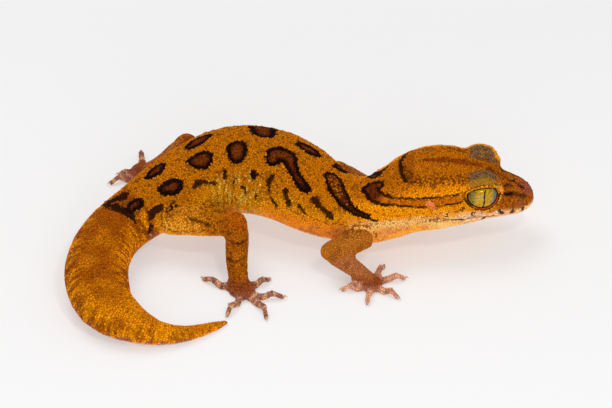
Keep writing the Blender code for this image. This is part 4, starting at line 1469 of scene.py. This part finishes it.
def eye_colour(result, points, kind, grain):
    """Grey-brown over each eye, lids edged gold above and red and black below, a golden crest, and a painted
    highlight before the lids.
    """
    head = among(kind, "head")
    for side in eyes:
        out, forward, up = eye_place(points, side)
        value = lid_value(forward, up)
        outside = (out > 0) & head
        top = ease(up, -0.1, 0.6)
        rows = noise(np.column_stack([points[:, 0] * 0.5, out * 2.4, np.zeros(len(points))]), 0.3)
        width = ease(out, ORBIT[2], ORBIT[2] + 0.5) * (1 - ease(out, ORBIT[3] - 0.3, ORBIT[3] + 0.4))
        length = 1 - ease(np.abs(points[:, 0] - ORBIT[0]), ORBIT[1] - 0.35, ORBIT[1] + 0.35)
        patch = width * length * head * (up > 0.9) * (value > 1.3)
        blend(result, "orbit", patch * (0.7 + 0.3 * ease(rows, 0.3, 0.6)))
        if side < 0:
            blend(result, "orbit low", patch * ease(out, 0.7, 1.6) * (0.5 + 0.4 * rows))
            blend(result, "lid", outside * (value > 1.34) * (1 - ease(value, 1.4, 1.75)) * top * 0.5)
        crest = np.hypot((forward - 0.2) / 3.1, up / 2.75)
        golden = outside * (value > 1.3) * (1 - ease(crest, 1.0, 1.1)) * top
        blend(result, "lid", golden * (0.25 if side < 0 else 0.95))
        edge = lid_margin(forward, up)
        blend(result, "lid", outside * (edge < 0.57) * top)
        blend(result, "brown", outside * (edge > 0.57) * (edge < 0.7) * top * (forward < 1.6) * 0.85)
        # Painted highlight: a thin pale band round the front of the lids.
        blend(result, "lip", outside * (edge > 0.52) * (edge < 0.7) * (forward > 1.9) * (up > -0.6) * 0.6)
        low = outside * (1 - top)
        ahead = ease(forward, -1.5, -0.9)
        blend(result, "lid", low * (edge < 0.72) * 0.8)
        blend(result, "rim", low * (edge < 0.5) * (1 - ahead) * 0.92)
        blend(result, "lower lid", low * (edge < 0.34) * ahead)
        blend(result, "rim", low * (edge > 0.34) * (edge < 0.6) * ahead * 0.92)
        result[outside & (edge < np.where(up > 0, 0.12, 0.06))] = INK["rim"]
    return result


def hide_colour(points, kind, label, along, angle, grain, ear):
    apart, over = from_mouth(points)
    result = ground_colour(points, kind, label, along, angle, grain)
    return mark_colour(result, points, kind, along, angle, grain, ear, apart, over)


# %% Colour the skin and the scales
GROOVE_SHADE = 0.5  # painted shade: how dark the skin is made in the grooves between the scales
SPECK = dict(zip(KINDS, (0.14, 0.15, 0.16, 0.16, 0.05, 0.2, 0.18, 0.12)))  # share of dark scales
SPECK_DARK = 0.4
SPREAD = 0.28  # how much one scale's brightness may differ from the mean


def set_colours(thing, colours):
    layer = thing.data.color_attributes.new("markings", "FLOAT_COLOR", "POINT")
    rgba = np.ones((len(colours), 4), np.float32)
    rgba[:, :3] = np.clip(colours, 0, 1)
    layer.data.foreach_set("color", rgba.ravel())


skin_colour = hide_colour(co, skin_kind, skin_label, skin_along, skin_angle, np.full(len(co), 0.5), ear_value)
# Painted shade in the grooves between the scales, weaker on the underside and none in the ear pits.
bare = 1 - ease(ear_value, 0.6, 1.0)
low = ease(np.degrees(np.abs(skin_angle)), 92, 112) * among(skin_kind, "head", "neck", "chest", "back")
shade = GROOVE_SHADE + (1 - GROOVE_SHADE) * np.maximum(bare, low * 0.6)
# Painted shade deep in the nostril pits.
shade = shade * (1 - 0.8 * (1 - ease(nostril_value, 0.7, 1.0)))
set_colours(skin, skin_colour * shade[:, None])
grain = luck.random(len(seeds))
seed_colour = hide_colour(seeds, seed_kind, seed_label, seed_along, seed_angle, grain, ear_value[seed_vertex])
seed_colour *= (1 + SPREAD * (luck.random(len(seeds)) * 2 - 1))[:, None]
speck = luck.random(len(seeds)) < np.array([SPECK[kind] for kind in KINDS])[seed_kind]
speck &= (seed_pitch < 0.6) & (np.degrees(np.abs(seed_angle)) < 95)
speck &= ~((from_mouth(seeds)[0] < 1.2) & (seed_along > 84))
seed_colour[speck] *= SPECK_DARK
for kind, (thing, size, pick) in coats.items():
    colours = np.repeat(seed_colour[pick], size, axis=0)
    wide = np.repeat(seed_pitch[pick] > WIDE, size)
    if wide.any():
        owner = np.repeat(pick, size)[wide]
        places = read(thing)[wide]
        address_there = address(places)
        owner_facts = (seed_kind[owner], seed_label[owner])
        ear_there = ear_value[seed_vertex[owner]]
        colours[wide] = hide_colour(places, *owner_facts, *address_there, grain[owner], ear_there)
    set_colours(thing, colours)
print("coloured", len(seeds), "scales and", len(co), "points of skin")

# %% [markdown]
# ## Finishes
# Gecko skin is keratin in fine grains: dull, with only a faint glint on each grain. The bump is the
# microscopic net of ridges that every gecko scale has, drawn coarser than the real hundredth of a millimetre.


# %% Keratin
RIDGE = 0.00012  # metres between ridges
RIDGE_HEIGHT = 0.00002


def keratin(name, roughness):
    """Matt granular hide. The markings come from the mesh, and a fine grain roughens the light on it."""
    material, shader = new_material(name, {"Roughness": roughness, "Specular IOR Level": 0.03})
    tree = material.node_tree
    markings = add_node(tree, "ShaderNodeAttribute", {"attribute_name": "markings"})
    place = add_node(tree, "ShaderNodeTexCoord")
    grain = {"Scale": 1 / RIDGE, "Detail": 2.0}
    ridges = add_node(tree, "ShaderNodeTexNoise", grain, {"Vector": place.outputs["Object"]})
    relief = {"Strength": 0.3, "Distance": RIDGE_HEIGHT}
    bump = add_node(tree, "ShaderNodeBump", relief, {"Height": ridges.outputs["Fac"]})
    tree.links.new(markings.outputs["Color"], shader.inputs["Base Color"])
    tree.links.new(bump.outputs["Normal"], shader.inputs["Normal"])
    return material


ROUGHNESS = dict(zip(KINDS, (0.55, 0.6, 0.6, 0.6, 0.55, 0.58, 0.58, 0.5)))
SLOTS = {"head": "head_skin", "tail": "tail_skin", "toes": "toe_skin"}
SLOTS |= dict.fromkeys(("neck", "chest", "back"), "back_skin")
SLOTS |= dict.fromkeys(("arm", "leg"), "limb_skin")


def finish_piece(thing, material):
    """Turns a piece to metres, gives it its finish and lets it ride on the model."""
    thing.data.transform(Matrix.Scale(MM, 4))
    thing.data.materials.clear()
    thing.data.materials.append(material)
    only(thing)
    bpy.ops.object.shade_smooth()
    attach(thing, "root")


finish_piece(skin, keratin("skin between the scales", 0.65))
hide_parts(*flesh_names)
for kind, (thing, size, pick) in coats.items():
    finish_piece(thing, keratin("granular keratin of the " + kind, ROUGHNESS[kind]))

# %% [markdown]
# ## Eyeballs
# A slit pupil with a wavy edge, an iris of gold streaks that turns olive behind and blue-grey in front, and a
# wet gloss. The colours are worked out for each point of the ball from its place round the pupil.

# %% Colours of the iris
PUPIL_TILT = 13.0  # degrees that the slit leans forward at the top
PUPIL_AHEAD = 0.22  # of the middle of the ball
EYE_PALETTE = {"gold": "#FFC400", "olive": "#9C9038", "blue": "#7E8E7C", "vein": "#5A3000"}
EYE_INK = {name: colour(code) for name, code in EYE_PALETTE.items()}


def iris_colour(forward, up):
    """Colour of the eye at millimetres forward of and over its middle."""
    turn = math.radians(PUPIL_TILT)
    f = (forward - PUPIL_AHEAD) * math.cos(turn) - up * math.sin(turn)
    u = (forward - PUPIL_AHEAD) * math.sin(turn) + up * math.cos(turn)
    radius, way = np.hypot(f, u), np.arctan2(u, f)
    polar = np.column_stack([way * 2.2, radius * 0.22, np.zeros(len(f))])
    streak = noise(polar, 0.11) * 0.6 + noise(polar + 3, 0.05) * 0.4
    result = np.tile(EYE_INK["gold"], (len(f), 1))
    result += (EYE_INK["olive"] - result) * ease(-f + 0.9 * streak, 1.3, 2.1)[:, None]
    result += (EYE_INK["blue"] - result) * ease(f + 0.8 * streak, 1.25, 1.75)[:, None]
    result += (EYE_INK["vein"] - result) * (ease(streak, 0.52, 0.64) * 0.7)[:, None]
    result *= (0.22 + 0.9 * streak)[:, None]
    result *= (1 - 0.7 * ease(radius, 1.8, 2.4))[:, None]
    slit = 0.075 + 0.05 * np.abs(np.sin(u * 4.2)) * (1 - ease(np.abs(u), 0.9, 1.3))
    edge = ease(np.abs(f + 0.06 * np.sin(u * 3)), slit - 0.02, slit + 0.03) + ease(np.abs(u), 1.25, 1.4)
    return result * np.clip(edge, 0.004, 1)[:, None]


# %% Two eyeballs
eye_gloss, eye_shader = new_material(
    "wet clear eye scale",
    {"Roughness": 0.35, "Specular IOR Level": 0.0, "Coat Weight": 0.6, "Coat Roughness": 0.04},
)
iris_paint = add_node(eye_gloss.node_tree, "ShaderNodeAttribute", {"attribute_name": "markings"})
eye_gloss.node_tree.links.new(iris_paint.outputs["Color"], eye_shader.inputs["Base Color"])
for side, name in ((-1, "eyeball_right"), (1, "eyeball_left")):
    bpy.ops.object.select_all(action="DESELECT")
    bpy.ops.mesh.primitive_uv_sphere_add(segments=128, ring_count=96, radius=1)
    ball = bpy.context.object
    ball.name = name
    unit_points = read(ball)
    flat_forward, flat_up = unit_points[:, 0] * EYE_RADIUS, unit_points[:, 1] * EYE_TALL
    write(ball, eye_point(side, unit_points[:, 2] * EYE_DEPTH, flat_forward, flat_up))
    _, out_way, forward_way, up_way = eyes[side]
    if np.linalg.det(np.array([forward_way, up_way, out_way])) < 0:
        bpy.ops.object.mode_set(mode="EDIT")
        bpy.ops.mesh.select_all(action="SELECT")
        bpy.ops.mesh.flip_normals()
        bpy.ops.object.mode_set(mode="OBJECT")
    set_colours(ball, iris_colour(flat_forward, flat_up))
    finish_piece(ball, eye_gloss)
    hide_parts("eye_right" if side < 0 else "eye_left")
print("eyeballs made")

# %% [markdown]
# ## Claws
# Each toe ends in a small curved claw, as clear as a fingernail. One cone is bent once, and copied to the
# twenty tips.

# %% Twenty claws
CLAW_LENGTH = 0.5
CLAW_WIDTH = 0.16
CLAW_START = 0.55  # share of the toe's end radius at which the claw comes out
bpy.ops.object.select_all(action="DESELECT")
bpy.ops.mesh.primitive_cone_add(vertices=10, radius1=CLAW_WIDTH, radius2=0.0, depth=CLAW_LENGTH)
claw = bpy.context.object
bpy.ops.object.mode_set(mode="EDIT")
bpy.ops.mesh.select_all(action="SELECT")
bpy.ops.mesh.subdivide(number_cuts=3)
bpy.ops.object.mode_set(mode="OBJECT")
shape = read(claw)
shape[:, 2] += CLAW_LENGTH / 2
claw.data.calc_loop_triangles()
claw_faces = np.array([t.vertices[:] for t in claw.data.loop_triangles])
bpy.data.objects.remove(claw)
claw_points, claw_triangles = [], []
for i, (name, tip, way) in enumerate(tips):
    aside = np.array([-way[1], way[0], 0])
    ahead = shape[:, 2] + TOE_TIP * CLAW_START
    drop = 0.14 - 0.42 * (shape[:, 2] / CLAW_LENGTH) ** 2
    placed = tip + np.outer(ahead, way) + np.outer(shape[:, 0], aside)
    placed = placed + np.outer(shape[:, 1] + drop, (0, 0, 1))
    placed[:, 2] = np.maximum(placed[:, 2], 0.02)
    claw_points.append(placed)
    claw_triangles.append(claw_faces + i * len(shape))
claws = mesh_of("claws", np.vstack(claw_points), np.vstack(claw_triangles))
horn, _ = new_material("clear horn", {"Base Color": (*colour("#C0A080"), 1), "Roughness": 0.3})
finish_piece(claws, horn)
print("claws:", len(tips))

# %% [markdown]
# ## Studio
# A sheet of white paper that glows by itself, painted light in place of a light table, brighter near the
# camera,
# and white all round: that leaves the shadows pale and lights the belly. A soft light hangs over and a little
# behind the animal, a broad one stands low beside the camera and fills the flank, and a small one gives the
# glint in the eye.

# %% Floor and lights
GLOW_NEAR = 0.42  # painted light: how strongly the paper itself glows, near the camera
GLOW_FAR = 0.37
bpy.ops.object.select_all(action="DESELECT")
bpy.ops.mesh.primitive_plane_add(size=3)
floor = bpy.context.object
floor.name = "floor"
paper, paper_shader = new_material(
    "white paper",
    {
        "Base Color": (*colour("#C0BFBF"), 1),
        "Roughness": 0.6,
        "Specular IOR Level": 0.0,
        "Emission Color": (1, 1, 1, 1),
    },
)
paper_place = add_node(paper.node_tree, "ShaderNodeTexCoord")
paper_axes = add_node(paper.node_tree, "ShaderNodeSeparateXYZ", (), {"Vector": paper_place.outputs["Object"]})
near_to_far = {"From Min": -0.04, "From Max": 0.05, "To Min": GLOW_NEAR, "To Max": GLOW_FAR}
paper_glow = add_node(paper.node_tree, "ShaderNodeMapRange", near_to_far, {"Value": paper_axes.outputs["Y"]})
paper.node_tree.links.new(paper_glow.outputs["Result"], paper_shader.inputs["Emission Strength"])
floor.data.materials.append(paper)

world = bpy.data.worlds.new("studio")
world.use_nodes = True
world.node_tree.nodes["Background"].inputs["Color"].default_value = (1, 1, 1, 1)
world.node_tree.nodes["Background"].inputs["Strength"].default_value = 0.56
bpy.context.scene.world = world


def softbox(name, place, size, power):
    """A square light at a place in metres, turned to the animal."""
    bpy.ops.object.light_add(type="AREA", location=place)
    lamp = bpy.context.object
    lamp.name = name
    lamp.data.size = size
    lamp.data.energy = power
    lamp.rotation_euler = (-Vector(place)).to_track_quat("-Z", "Y").to_euler()
    return lamp


softbox("over and behind", (-0.10, 0.12, 0.35), 0.22, 0.42)
softbox("glint in the eye", (0.10, -0.2, 0.35), 0.05, 0.24)
softbox("low beside the camera", (0.06, -0.42, 0.12), 0.34, 0.75)
bpy.context.scene.view_settings.view_transform = "Standard"

# %% Update the scene
bpy.context.view_layer.update()
